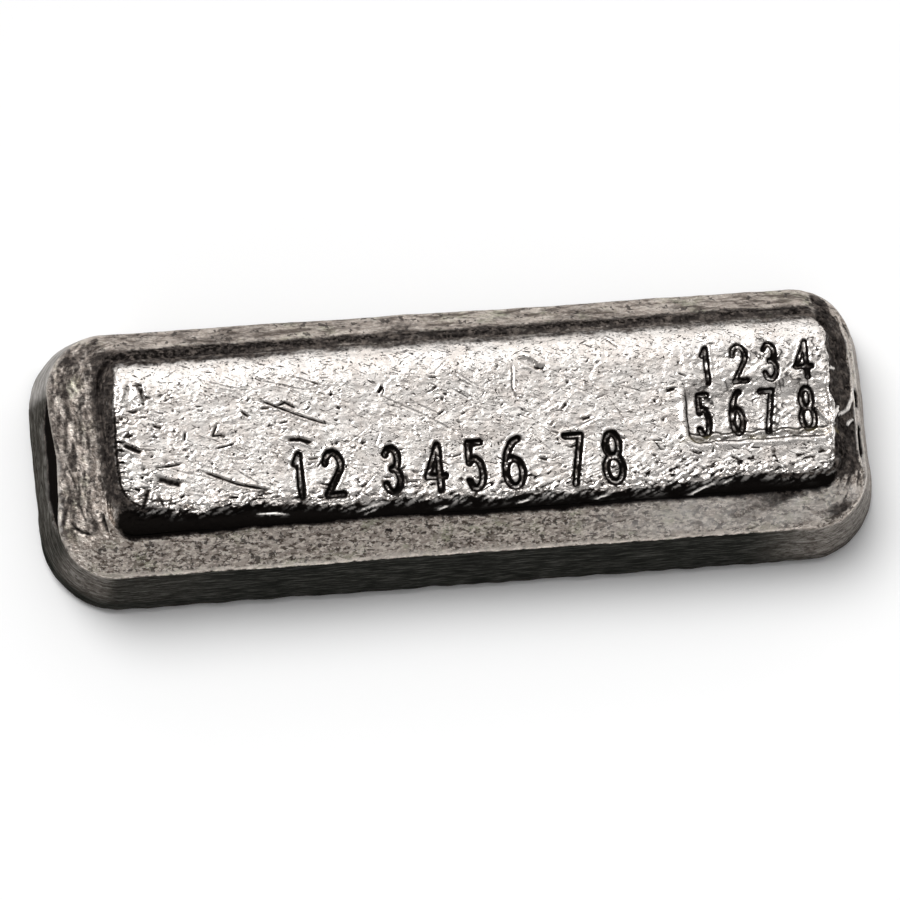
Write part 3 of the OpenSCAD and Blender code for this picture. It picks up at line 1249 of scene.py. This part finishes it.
    def hatch(self) -> None:
        """Darken the torn strokes along the face's edges and the corner's rings, and paint shade along
        the foot.
        """
        x, y, z = self.skin.x, self.skin.y, self.skin.z
        outside = self.outside
        on_face = ease(12.0, 12.4, z)
        strip = ease(-4.2, -6.4, y) * (0.4 + 0.6 * ease(-16.0, -6.0, x))
        front = ease(0.28, 0.46, cloud(self.skin.slanted(x, y), (1.9, 0.28, 1.0), 130)) * strip
        right = ease(0.22, 0.45, self.skin.noise((1.3, 0.42, 1.0), 131))
        right *= hill(-6.0, 1.1, y) * ease(18.0, 26.0, x)
        left = ease(0.15, 0.4, self.skin.noise((1.7, 0.26, 1.0), 132)) * hill(-0.3, 0.8, outside)
        left *= ease(-8.0, -6.5, y) * ease(6.0, 4.0, y) * ease(0, -9, x)
        over_x, over_y = x - self.skin.body.centre_x, -y - self.skin.body.centre_y
        ring = np.stack([np.hypot(over_x, over_y), 6.0 * np.arctan2(over_y, over_x), z], axis=1)
        rings = ease(0.0, 0.45, cloud(ring, (0.4, 3.0, 2.0), 133))
        rings *= ease(-3.0, 1.5, np.minimum(over_x, over_y)) * self.skin.above_brim()
        rim = ease(0.1, 0.5, self.skin.noise((0.45, 1.4, 0.6), 134))
        rim *= ease(43.4, 43.8, x) * ease(7.9, 8.3, z)
        # Painted shade: a dark band along the bottom edge, where the bar meets the floor.
        foot = ease(1.4, 0.6, z) * ease(-0.05, 0.1, z)
        for share, mark in (
            (0.9, front * on_face), (0.9, right * on_face), (1.0, left * on_face),
            (0.7, rings), (0.5, rim), (0.9, foot),
        ):
            self.skin.darken(share * mark)

    def film_and_shade(self) -> None:
        """Say how thick the dark coat of painted shade is down the sides, standing for the dark
        reflection they show.
        """
        x, y, z = self.skin.x, self.skin.y, self.skin.z
        wander = self.wander
        to_left = ease(-24.0, -36.0, x) * ease(-4.0, -9.0, y)
        to_right = ease(30.0, 40.0, x) * ease(-4.0, -9.0, y)
        left_end = ease(-42.0, -44.5, x) * ease(-11.0, -6.0, y)
        right_end = ease(41.5, 43.8, x) * ease(-11.0, -6.5, y + wander)
        at_corner = ease(-38.5, -41.5, x) * ease(-9.0, -11.5, y + wander) * ease(1.5, 4.5, z)
        # Painted shade down the sides, lightest at the right end.
        side_shade = 1.0 - 0.06 * to_left * (1 - left_end) - 0.48 * to_right * (1 - right_end)
        side_shade += 0.3 * ease(2.5, 1.0, z) * (to_left + to_right) - 0.32 * at_corner
        self.skin.side_shade = side_shade - 0.12 * left_end - 0.95 * right_end - 0.2 * ease(12.0, 14.0, y)

    def bare(self) -> None:
        """Paint pale highlights, laid as bright metal: a reflection on the back left corner's facet, and
        sheen on the rims and the front shoulder, but not on black slits.
        """
        x, y, z = self.skin.x, self.skin.y, self.skin.z
        wander = self.wander
        # Painted reflection: the back left corner's facet and the back edge near it are paled as bright
        # metal.
        facet = ease(-36.0, -39.5, x) * ease(6.9, 9.2, y + 1.2 * wander) * ease(8.6, 7.8, z)
        edge = ease(11.5, 12.8, y) * ease(8.3, 7.9, z) * ease(-31.0, -39.5, x + 6.0 * wander)
        # Painted highlights along the right end's rim and the lip at the edge of its dark coat.
        rim = hill(8.25, 0.22, z) * ease(43.0, 43.8, x) * ease(-12.0, -8.0, y) * ease(10, 6, y)
        lip = hill(0.16, 0.12, x - self.right_edge() + 0.3 * wander) * ease(-7.6, -6.6, y)
        lip *= ease(10.0, 8.0, y) * self.skin.above_brim() * ease(25, 35, x)
        streaks = 0.8 + 0.4 * self.skin.noise((0.8, 0.8, 0.35), 124)
        sheen_patches = 0.6 + 0.4 * ease(-0.5, 0.4, self.skin.noise((3.0, 3.0, 1.2), 142))
        corner = sheen_patches * np.maximum(0.52 * facet * streaks * ease(0.9, 1.6, z), 0.4 * edge)
        # Painted sheen paling the front shoulder.
        worn = ease(8.0, 24.0, x) * ease(-8.5, -9.4, y) * ease(8.3, 8.7, z) * ease(10.7, 10.3, z)
        worn *= 1 + 0.9 * self.skin.noise((1.4, 0.7, 0.9), 137) + 0.5 * self.skin.noise(0.4, 138)
        worn *= 1 - np.minimum(1.0, 1.4 * self.skin.tarnish_and_shade)
        pale = np.max([corner, 0.5 * rim, 0.6 * lip, 0.38 * worn], axis=0)
        self.skin.brighten(pale * (1 - ease(0.86, 0.97, self.skin.tarnish_and_shade)))


# ---------------------------------------------------------------------------------------------
# Finishes
# ---------------------------------------------------------------------------------------------

@dataclass
class Bench:
    """Adds and joins nodes in one node tree.

    A mix node has one pair of inputs for each type, so its colours are found by number.
    """

    COLOUR_INPUTS: ClassVar[tuple[int, int]] = (6, 7)
    COLOUR_OUTPUT: ClassVar[int] = 2

    tree: bpy.types.NodeTree

    def node(
        self, kind: str, inputs: dict[str | int, object] | None = None, **settings: object
    ) -> bpy.types.Node:
        """Add a node.

        Args:
            kind: The node's type.
            inputs: Values or sockets for its inputs, by name or number.
            **settings: Its settings by name.

        Returns:
            The node.
        """
        made = self.tree.nodes.new(kind)
        for name, value in settings.items():
            setattr(made, name, value)
        for name, value in (inputs or {}).items():
            if isinstance(value, Socket):
                self.tree.links.new(value, made.inputs[name])
            else:
                made.inputs[name].default_value = value
        return made

    def noise(
        self, vector: Socket, scale: Socket | float, detail: float = 3.0, rough: float = 0.55
    ) -> Socket:
        """Add a noise texture and return its value."""
        inputs = {"Vector": vector, "Scale": scale, "Detail": detail, "Roughness": rough}
        return self.node("ShaderNodeTexNoise", inputs).outputs["Fac"]

    def span(
        self, value: Socket, low: Socket | float, high: Socket | float, to_low: float = 0.0,
        to_high: float = 1.0,
    ) -> Socket:
        """Map a value from one span to another, smoothly.

        Args:
            value: The value.
            low: Where its span begins, which may be above high for a fall.
            high: Where its span ends.
            to_low: The result at low and beyond it.
            to_high: The result at high and beyond it.

        Returns:
            The mapped value.
        """
        inputs = {"Value": value, "From Min": low, "From Max": high}
        inputs |= {"To Min": to_low, "To Max": to_high}
        made = self.node("ShaderNodeMapRange", inputs, interpolation_type="SMOOTHSTEP")
        return made.outputs["Result"]

    def sum_up(self, operation: str, first: Socket | float, second: Socket | float) -> Socket:
        """Do one sum on two values and return the result."""
        made = self.node("ShaderNodeMath", {0: first, 1: second}, operation=operation)
        return made.outputs["Value"]

    def plus(self, first: Socket | float, second: Socket | float) -> Socket:
        """Add two values and return the result."""
        return self.sum_up("ADD", first, second)

    def minus(self, first: Socket | float, second: Socket | float) -> Socket:
        """Take the second value from the first and return the result."""
        return self.sum_up("SUBTRACT", first, second)

    def times(self, first: Socket | float, second: Socket | float) -> Socket:
        """Multiply two values and return the result."""
        return self.sum_up("MULTIPLY", first, second)

    def larger(self, first: Socket, second: Socket) -> Socket:
        """Return the larger of two values."""
        return self.sum_up("MAXIMUM", first, second)

    def unsigned(self, value: Socket) -> Socket:
        """Drop a value's sign and return it."""
        return self.sum_up("ABSOLUTE", value, 0.0)

    def blend(self, share: Socket | float, under: object, over: object) -> Socket:
        """Lay one colour over another.

        Args:
            share: How much of the upper one shows.
            under: The lower colour, or a plain value.
            over: The upper one.

        Returns:
            The mixed colour.
        """
        made = self.node("ShaderNodeMix", {"Factor": share}, data_type="RGBA")
        for index, value in zip(self.COLOUR_INPUTS, (under, over)):
            if isinstance(value, Socket):
                self.tree.links.new(value, made.inputs[index])
            else:
                made.inputs[index].default_value = (*value, 1.0)
        return made.outputs[self.COLOUR_OUTPUT]

    def stretch(self, vector: Socket, scale: tuple[float, float, float]) -> Socket:
        """Scale coordinates along each axis and return them."""
        made = self.node("ShaderNodeMapping", {"Vector": vector, "Scale": scale})
        return made.outputs["Vector"]

    def turned(self, vector: Socket, turn: float, size: tuple[float, float, float]) -> Socket:
        """Turn coordinates about Z, and measure them in steps.

        Args:
            vector: The coordinates.
            turn: The turn in degrees.
            size: The step along each turned axis.

        Returns:
            The turned coordinates.
        """
        inputs = {"Vector": vector, "Rotation": (0.0, 0.0, math.radians(turn)), "Scale": size}
        made = self.node("ShaderNodeMapping", inputs, vector_type="TEXTURE")
        return made.outputs["Vector"]


def start_material(name: str) -> tuple[bpy.types.Material, Bench]:
    """Start a material with an empty node tree.

    Args:
        name: Its name.

    Returns:
        The material, and a bench for its tree.
    """
    material = bpy.data.materials.new(name)
    material.use_nodes = True
    material.node_tree.nodes.clear()
    return material, Bench(material.node_tree)


def new_group(name: str, inputs: Iterable[tuple[str, str, float]], outputs: Iterable[str]) -> Bench:
    """Start a shader node group.

    Args:
        name: Its name.
        inputs: Each input's name, socket type and usual value.
        outputs: The names of its value outputs.

    Returns:
        A bench for its tree.
    """
    tree = bpy.data.node_groups.new(name, "ShaderNodeTree")
    for label, kind, usual in inputs:
        socket = tree.interface.new_socket(label, in_out="INPUT", socket_type=kind)
        if kind == "NodeSocketFloat":
            socket.default_value = usual
    for label in outputs:
        tree.interface.new_socket(label, in_out="OUTPUT", socket_type="NodeSocketFloat")
    return Bench(tree)


def speckle_group() -> bpy.types.NodeTree:
    """Build the group for small dark pocks.

    Returns:
        The group: Vector, Scale and Density in, Mask out.
    """
    inputs = (
        ("Vector", "NodeSocketVector", 0.0),
        ("Scale", "NodeSocketFloat", 1.0),
        ("Density", "NodeSocketFloat", 0.5),
    )
    bench = new_group("Speckle", inputs, ("Mask",))
    entry = bench.node("NodeGroupInput")
    lumps = bench.noise(entry.outputs["Vector"], entry.outputs["Scale"], 2.0, 0.6)
    edge = bench.minus(0.9, bench.times(entry.outputs["Density"], 0.4))
    bench.node("NodeGroupOutput", {"Mask": bench.span(bench.minus(lumps, edge), 0.0, 0.05)})
    return bench.tree


@dataclass(frozen=True)
class SilverFinish:
    """Cast silver, bright where it was struck, matte on the shoulder and dark down the sides."""

    name: str = "cast silver"
    bright: tuple[float, float, float] = (0.91, 0.865, 0.825)
    warm: tuple[float, float, float] = (0.80, 0.735, 0.685)
    shoulder: tuple[float, float, float] = (0.50, 0.435, 0.385)
    shoulder_pale: tuple[float, float, float] = (0.77, 0.705, 0.640)
    shoulder_dark: tuple[float, float, float] = (0.120, 0.096, 0.080)
    shoulder_green: tuple[float, float, float] = (0.47, 0.46, 0.35)
    # The two darkest side colours are painted shade, standing for the dark reflection of the sides.
    side: tuple[float, float, float] = (0.0145, 0.0150, 0.0132)
    side_pale: tuple[float, float, float] = (0.085, 0.084, 0.075)
    side_bare: tuple[float, float, float] = (0.27, 0.232, 0.20)
    side_bare_pale: tuple[float, float, float] = (0.72, 0.68, 0.63)
    # The darkest colours lay tarnished marks and painted shade alike.
    tarnish_and_shade: tuple[float, float, float] = (0.006, 0.0050, 0.0045)
    film_and_shade: tuple[float, float, float] = (0.030, 0.0255, 0.0235)
    film_and_shade_pale: tuple[float, float, float] = (0.125, 0.105, 0.092)
    stain: tuple[float, float, float] = (0.45, 0.38, 0.20)
    fleck: tuple[float, float, float] = (0.36, 0.32, 0.295)
    pock: tuple[float, float, float] = (0.035, 0.028, 0.024)
    shoulder_pock: tuple[float, float, float] = (0.06, 0.05, 0.045)
    film_shine: float = 0.0
    film_rough: float = 0.5
    side_top: float = 8.0
    bump_depth: float = 0.072 * MM

    def build(self) -> bpy.types.Material:
        """Build the material.

        Returns:
            The material.
        """
        material, bench = start_material(self.name)
        coords = bench.node("ShaderNodeTexCoord").outputs["Object"]
        place = bench.stretch(coords, (1 / MM, 1 / MM, 1 / MM))
        masks = {
            name: bench.node("ShaderNodeAttribute", attribute_name=name).outputs["Fac"]
            for name in MASKS
        }
        level, on_side, on_face = self.zones(bench, place, masks["side_shade"])
        speckle = speckle_group()
        face_colour, face_pocks = self.face_colour(bench, place, speckle)
        shoulder_colour = self.shoulder_colour(bench, place, speckle, masks["drawn"])
        colour = bench.blend(on_face, shoulder_colour, face_colour)
        # Painted shade darkens the sides, standing for their dark reflection.
        colour = bench.blend(on_side, colour, self.side_colour(bench, place, masks["side_shade"]))
        # A thin painted highlight along the brim.
        colour = bench.blend(self.brim(bench, level, masks), colour, self.shoulder_pale)
        # The dark coat lays tarnished marks and painted shade alike; over the hollows, walls, ends and
        # front band it is painted shade.
        patchy = bench.span(bench.noise(place, 2.4, 3.0), 0.3, 0.7, -0.09, 0.09)
        dark = bench.span(bench.plus(masks["tarnish_and_shade"], patchy), 0.05, 0.95)
        crust = bench.noise(bench.stretch(place, (0.8, 1.0, 1.0)), 1.5, 3.0, 0.6)
        film_and_shade_colour = bench.blend(bench.span(crust, 0.42, 0.74), self.film_and_shade, self.film_and_shade_pale)
        colour = bench.blend(bench.span(dark, 0.0, 0.8), colour, film_and_shade_colour)
        colour = bench.blend(bench.span(dark, 0.86, 0.99), colour, self.tarnish_and_shade)
        colour = bench.blend(bench.times(masks["stain"], 0.7), colour, self.stain)
        # Bright bare metal; on the facets, rims, ridges and glints it is a painted highlight.
        colour = bench.blend(masks["gleam"], colour, self.bright)

        film_and_shade = bench.larger(bench.times(on_side, masks["side_shade"]), dark)
        film_and_shade = bench.times(film_and_shade, bench.minus(1.0, masks["gleam"]))
        rough = bench.span(bench.noise(place, 2.2, 5.0, 0.7), 0.3, 0.7, 0.16, 0.30)
        matte = bench.span(bench.noise(place, 3.0, 4.0), 0.3, 0.7, 0.45, 0.62)
        rough = bench.blend(on_face, matte, rough)
        shader = bench.node(
            "ShaderNodeBsdfPrincipled",
            {
                "Base Color": colour,
                "Roughness": bench.blend(bench.times(dark, 0.6), rough, [self.film_rough] * 3),
                "Metallic": bench.span(film_and_shade, 0.35, 0.95, 1.0, 0.0),
                "Normal": self.relief(bench, place, on_face, on_side, face_pocks),
                "Specular IOR Level": self.film_shine,
            },
        )
        bench.node("ShaderNodeOutputMaterial", {"Surface": shader.outputs["BSDF"]})
        return material

    def zones(self, bench: Bench, place: Socket, side_shade: Socket) -> tuple[Socket, Socket, Socket]:
        """Part the bar by height, with ragged limits.

        Args:
            bench: The material's bench.
            place: Coordinates in mm.
            side_shade: The mask of the painted shade down the sides, under which the sides' limit is
                sharpest.

        Returns:
            The ragged height, the mask of the sides and the mask of the struck face.
        """
        height = bench.node("ShaderNodeSeparateXYZ", {"Vector": place}).outputs["Z"]
        ragged = bench.span(bench.noise(place, 1.3, 3.0), 0.2, 0.8, -0.12, 0.12)
        level = bench.plus(height, ragged)
        blur = bench.times(bench.minus(1.0, side_shade), 0.8)
        upper = bench.plus(self.side_top + 0.12, blur)
        lower = bench.minus(self.side_top - 0.05, bench.times(blur, 2.0))
        return level, bench.span(level, upper, lower), bench.span(level, 11.3, 12.0)

    def brim(self, bench: Bench, level: Socket, masks: dict[str, Socket]) -> Socket:
        """Find the thin line along the brim that is painted pale as a highlight.

        Args:
            bench: The material's bench.
            level: The ragged height in mm.
            masks: The masks stored on the mesh.

        Returns:
            Its mask.
        """
        from_brim = bench.unsigned(bench.minus(level, self.side_top + 0.28))
        under_side_shade = bench.span(masks["side_shade"], 0.6, 1.0, 0.1, 0.6)
        brim = bench.times(bench.span(from_brim, 0.22, 0.05), under_side_shade)
        return bench.times(brim, bench.span(masks["drawn"], 0.7, 1.0, 1.0, 0.1))

    def face_colour(
        self, bench: Bench, place: Socket, speckle: bpy.types.NodeTree
    ) -> tuple[Socket, Socket]:
        """Colour the struck face.

        Args:
            bench: The material's bench.
            place: Coordinates in mm.
            speckle: The group for dark pocks.

        Returns:
            Its colour, and the mask of its dark pocks.
        """
        clouds = bench.span(bench.noise(place, 0.45, 5.0, 0.65), 0.38, 0.66)
        colour = bench.blend(clouds, self.bright, self.warm)
        flecks = bench.noise(bench.stretch(place, (1.0, 1.5, 1.0)), 2.2, 3.0, 0.65)
        share = bench.times(bench.span(flecks, 0.48, 0.68), 0.30)
        colour = bench.blend(share, colour, self.fleck)
        inputs = {"Vector": place, "Scale": 2.6, "Density": 0.66}
        mask = bench.node("ShaderNodeGroup", inputs, node_tree=speckle).outputs["Mask"]
        field = bench.noise(bench.stretch(place, (0.75, 1.9, 1.0)), 1.1, 3.0, 0.6)
        seam = bench.unsigned(bench.minus(field, 0.5))
        shown = bench.span(bench.noise(bench.stretch(place, (0.8, 1.3, 1.0)), 1.5, 2.0), 0.54, 0.60)
        seam = bench.times(bench.span(seam, 0.016, 0.004), shown)
        mask = bench.larger(mask, seam)
        for turn, length in ((-6.0, 1.0), (-27.0, 1.5), (24.0, 1.2)):
            drift = bench.turned(place, turn, (length, 0.17, 1.0))
            dashes = bench.span(bench.noise(drift, 1.0, 1.0, 0.5), 0.68, 0.73)
            mask = bench.larger(mask, dashes)
        colour = bench.blend(bench.times(mask, 0.95), colour, self.pock)
        return colour, mask

    def shoulder_colour(
        self, bench: Bench, place: Socket, speckle: bpy.types.NodeTree, drawn: Socket
    ) -> Socket:
        """Colour the matte shoulder.

        Args:
            bench: The material's bench.
            place: Coordinates in mm.
            speckle: The group for dark pocks.
            drawn: The mask of drawn-out streaks.

        Returns:
            Its colour.
        """
        green = bench.span(bench.noise(place, 0.35, 3.0), 0.5, 0.7)
        colour = bench.blend(green, self.shoulder, self.shoulder_green)
        blotch = bench.noise(bench.stretch(place, (0.7, 1.0, 1.0)), 0.8, 2.0, 0.5)
        mottle = bench.noise(bench.stretch(place, (0.5, 1.15, 1.15)), 2.3, 3.0, 0.65)
        pale = bench.noise(bench.stretch(place, (0.7, 1.1, 1.4)), 2.9, 2.0, 0.6)
        streaks = bench.noise(bench.stretch(place, (0.24, 0.24, 1.5)), 1.5, 3.0, 0.65)
        layers = (
            (blotch, 0.52, 0.34, 0.45, self.shoulder_dark),
            (blotch, 0.50, 0.68, 0.4, self.shoulder_pale),
            (mottle, 0.53, 0.39, bench.span(drawn, 0.0, 1.0, 1.0, 0.35), self.shoulder_dark),
            (pale, 0.50, 0.60, bench.span(drawn, 0.0, 1.0, 0.95, 0.38), self.shoulder_pale),
            (streaks, 0.52, 0.34, bench.span(drawn, 0.0, 1.0, 0.35, 0.9), self.shoulder_dark),
            (streaks, 0.54, 0.68, bench.times(drawn, 0.6), self.shoulder_pale),
        )
        for pattern, low, high, most, over in layers:
            colour = bench.blend(bench.times(bench.span(pattern, low, high), most), colour, over)
        inputs = {"Vector": place, "Scale": 1.2, "Density": 0.76}
        pocks = bench.node("ShaderNodeGroup", inputs, node_tree=speckle).outputs["Mask"]
        return bench.blend(bench.times(pocks, 0.8), colour, self.shoulder_pock)

    def side_colour(self, bench: Bench, place: Socket, side_shade: Socket) -> Socket:
        """Colour the sides, streaked level with the floor, with painted shade darkest along the long
        ones.

        Args:
            bench: The material's bench.
            place: Coordinates in mm.
            side_shade: The mask of the painted shade down the sides.

        Returns:
            Their colour.
        """
        streaks = bench.noise(bench.stretch(place, (0.25, 0.25, 3.6)), 1.6, 6.0, 0.7)
        share = bench.span(streaks, 0.42, 0.74)
        bare = bench.blend(share, self.side_bare, self.side_bare_pale)
        mottle = bench.noise(bench.stretch(place, (0.6, 0.6, 1.4)), 2.2, 3.0, 0.65)
        bare = bench.blend(bench.span(mottle, 0.56, 0.38), bare, self.shoulder_dark)
        shaded_side = bench.blend(share, self.side, self.side_pale)
        return bench.blend(side_shade, bare, shaded_side)

    def relief(
        self, bench: Bench, place: Socket, on_face: Socket, on_side: Socket, face_pocks: Socket
    ) -> Socket:
        """Add the relief that is too fine for the mesh.

        Args:
            bench: The material's bench.
            place: Coordinates in mm.
            on_face: The mask of the struck face.
            on_side: The mask of the dark sides.
            face_pocks: The mask of the struck face's pocks.

        Returns:
            The bent normal.
        """
        tooth = bench.noise(bench.stretch(place, (0.85, 1.25, 1.0)), 2.4, 2.0, 0.6)
        patch = bench.span(bench.noise(place, 0.3, 2.0), 0.35, 0.65, 0.35, 1.0)
        tooth = bench.times(tooth, patch)
        hammered = bench.minus(tooth, bench.times(face_pocks, 0.6))
        sand = bench.noise(bench.stretch(place, (0.8, 1.1, 1.5)), 2.7, 2.5, 0.65)
        sand = bench.times(sand, 1.8)
        grain = bench.noise(bench.stretch(place, (0.3, 0.3, 4.0)), 1.6, 3.0, 0.6)
        height = bench.blend(on_face, sand, hammered)
        height = bench.blend(on_side, height, grain)
        bump = bench.node("ShaderNodeBump", {"Height": height, "Distance": self.bump_depth})
        return bump.outputs["Normal"]


@dataclass(frozen=True)
class FloorFinish:
    """Plain pale studio floor."""

    name: str = "studio floor"
    colour: tuple[float, float, float] = (0.965, 0.965, 0.965)
    roughness: float = 0.9

    def build(self) -> bpy.types.Material:
        """Build the material.

        Returns:
            The material.
        """
        material, bench = start_material(self.name)
        inputs = {"Color": (*self.colour, 1.0), "Roughness": self.roughness}
        shader = bench.node("ShaderNodeBsdfDiffuse", inputs)
        bench.node("ShaderNodeOutputMaterial", {"Surface": shader.outputs["BSDF"]})
        return material


# ---------------------------------------------------------------------------------------------
# The finished bar
# ---------------------------------------------------------------------------------------------

@dataclass
class CastBar:
    """The whole bar: its body, what happened to its surface, and its finish."""

    body: BarBody
    finish: SilverFinish = SilverFinish()

    def strikes(self) -> tuple[Strike, ...]:
        """Lay out the struck rows.

        Returns:
            The long row, then the two rows of the small box punch.
        """
        long_spans = (
            (-20.0, -18.0), (-16.8, -13.9), (-10.2, -7.5), (-5.7, -2.7),
            (-1.2, 1.6), (2.9, 5.9), (9.8, 12.6), (13.9, 16.9),
        )
        upper = ((25.9, 27.7), (29.3, 31.6), (32.8, 35.0), (36.3, 38.8))
        lower = ((24.9, 27.0), (28.6, 30.7), (32.0, 34.2), (36.3, 38.7))
        line = tuple(Numeral)
        return (
            Strike(line, long_spans, -1.6, (-7.1, -8.0)),
            Strike(line[:4], upper, 7.0, (2.4, 2.4), 0.36, 0.36),
            Strike(line[4:], lower, 1.9, (-3.4, -3.4), 0.40, 0.42),
        )

    def build(self) -> bpy.types.Object:
        """Build the bar and dress it.

        Returns:
            The finished piece.
        """
        bar = self.body.block_out()
        self.body.skin(bar)
        log.info("skin: %d vertices", len(bar.data.vertices))
        skin = Skin(self.body, bar)
        Settling().shape(skin)
        BlockWear().shape(skin)
        CastFaults().mark(skin)
        StampFrame().press(skin)
        Handling().leave(skin)
        for strike in self.strikes():
            strike.punch(skin)
        TarnishAndPaintedLight(skin).settle()
        skin.save()
        self.body.thin(bar)
        self.body.to_metres(bar)
        bar.data.materials.clear()
        bar.data.materials.append(self.finish.build())
        triangles = sum(face.loop_total - 2 for face in bar.data.polygons)
        log.info("bar: %d vertices, %d triangles", len(bar.data.vertices), triangles)
        return bar


# ---------------------------------------------------------------------------------------------
# Studio
# ---------------------------------------------------------------------------------------------

@dataclass(frozen=True)
class Studio:
    """A round pale floor with a low upturned rim, soft light from above and behind, a camera."""

    floor_radius: float = 2.4
    rim_rise: float = 0.3
    rim_reach: float = 0.3
    rim_corners: int = 96
    rim_steps: int = 12
    sky: tuple[Point, ...] = ((-0.35, 0.31), (0.0, 0.45), (0.22, 0.77), (0.5, 1.13), (0.9, 1.16))
    sky_sides: float = 0.42
    sides_start: float = 0.35
    sides_stop: float = 0.95
    sky_horizon: float = 0.5
    horizon_stop: float = 0.25
    key_place: tuple[float, float, float] = (-0.3, 0.6, 1.0)
    key_strength: float = 2.2
    key_angle: float = 40.0
    key_turn: tuple[float, float, float] = (-30.0, -24.0, 0.0)
    azimuth: float = -36.7
    elevation: float = 74.53
    roll: float = 31.7
    distance: float = 0.7927
    lens: float = 290.25
    film_width: float = 36.0
    nearest: float = 0.01
    farthest: float = 20.0
    aim: tuple[float, float] = (-0.00136, -0.00129)

    def lay_floor(self) -> bpy.types.Object:
        """Model the floor and its rim.

        Returns:
            The floor.
        """
        leave_edit_mode()
        outer = self.floor_radius + self.rim_reach
        bpy.ops.mesh.primitive_circle_add(
            vertices=self.rim_corners, radius=outer, fill_type="NGON", location=(0, 0, self.rim_rise)
        )
        floor = bpy.context.object
        floor.name = "studio_floor"
        bpy.ops.object.transform_apply(location=True, rotation=True, scale=True)
        pick_faces(floor, lambda face: True)
        bpy.ops.mesh.inset(thickness=self.rim_reach, depth=-self.rim_rise)
        pick_edges(floor, lambda a, b: abs(a.z) + abs(b.z) < 1e-5)
        bpy.ops.mesh.bevel(offset=self.rim_reach * 0.9, segments=self.rim_steps, affect="EDGES")
        make_only(floor)
        bpy.ops.object.shade_smooth()
        leave_edit_mode()
        floor.data.materials.append(FloorFinish().build())
        return floor

    def light(self) -> None:
        """Set the soft sky and the one soft lamp."""
        world = bpy.data.worlds.new("studio sky")
        bpy.context.scene.world = world
        world.use_nodes = True
        world.node_tree.nodes.clear()
        bench = Bench(world.node_tree)
        direction = bench.node("ShaderNodeTexCoord").outputs["Generated"]
        parts = bench.node("ShaderNodeSeparateXYZ", {"Vector": direction})
        ramp = bench.node("ShaderNodeValToRGB")
        inputs = {"Value": parts.outputs["Y"], "From Min": -1.0, "From Max": 1.0}
        places = bench.node("ShaderNodeMapRange", inputs)
        bench.tree.links.new(places.outputs["Result"], ramp.inputs["Fac"])
        brightest = max(glow for _, glow in self.sky)
        steps = ramp.color_ramp.elements
        for number, (toward_back, glow) in enumerate(self.sky):
            step = steps[number] if number < 2 else steps.new(1.0)
            step.position = (toward_back + 1) / 2
            step.color = (*[glow / brightest] * 3, 1.0)
        sideways = bench.unsigned(parts.outputs["X"])
        dimmest = brightest * self.sky_sides
        inwards = bench.span(sideways, self.sides_start, self.sides_stop, brightest, dimmest)
        upwards = bench.span(parts.outputs["Z"], 0.0, self.horizon_stop, self.sky_horizon, 1.0)
        strength = bench.times(bench.times(ramp.outputs["Color"], inwards), upwards)
        sky = bench.node("ShaderNodeBackground", {"Color": (1, 1, 1, 1), "Strength": strength})
        bench.node("ShaderNodeOutputWorld", {"Surface": sky.outputs["Background"]})
        bpy.ops.object.light_add(type="SUN", location=self.key_place)
        key = bpy.context.object
        key.name = "soft_key"
        key.rotation_euler = [math.radians(turn) for turn in self.key_turn]
        key.data.energy = self.key_strength
        key.data.angle = math.radians(self.key_angle)
        leave_edit_mode()

    def place_camera(self, middle: Vector) -> None:
        """Stand the camera.

        Args:
            middle: The middle of the bar.
        """
        turn, rise = math.radians(self.azimuth), math.radians(self.elevation)
        back = Vector((
            math.sin(turn) * math.cos(rise), -math.cos(turn) * math.cos(rise), math.sin(rise)
        ))
        target = middle + Vector((*self.aim, 0.0))
        bpy.ops.object.camera_add(location=target + back * self.distance)
        camera = bpy.context.object
        camera.name = "studio_camera"
        facing = (-back).to_track_quat("-Z", "Y").to_matrix().to_4x4()
        turned = facing @ Matrix.Rotation(math.radians(self.roll), 4, "Z")
        camera.matrix_world = Matrix.Translation(camera.location) @ turned
        camera.data.lens = self.lens
        camera.data.sensor_width = self.film_width
        camera.data.clip_start = self.nearest
        camera.data.clip_end = self.farthest
        bpy.context.scene.camera = camera
        leave_edit_mode()

    def set_view(self) -> None:
        """Choose the plain view transform."""
        bpy.context.scene.view_settings.view_transform = "Standard"


def main() -> None:
    """Build everything in order, and tell the frame what each piece stands for."""
    logging.basicConfig(level=logging.INFO, format="%(name)s: %(message)s")
    leave_edit_mode()
    low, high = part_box(CAD_NODE)
    studio = Studio()
    studio.place_camera((low + high) / 2)
    length, width, height = ((high - low) / MM)[:]
    body = BarBody(round(length, 1), round(width, 1), round(height, 1))
    bar = CastBar(body).build()
    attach(bar, BODY)
    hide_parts(CAD_NODE)
    studio.lay_floor()
    studio.light()
    studio.set_view()
    log.info("floor, light and camera are set")


if __name__ == "__main__":
    main()
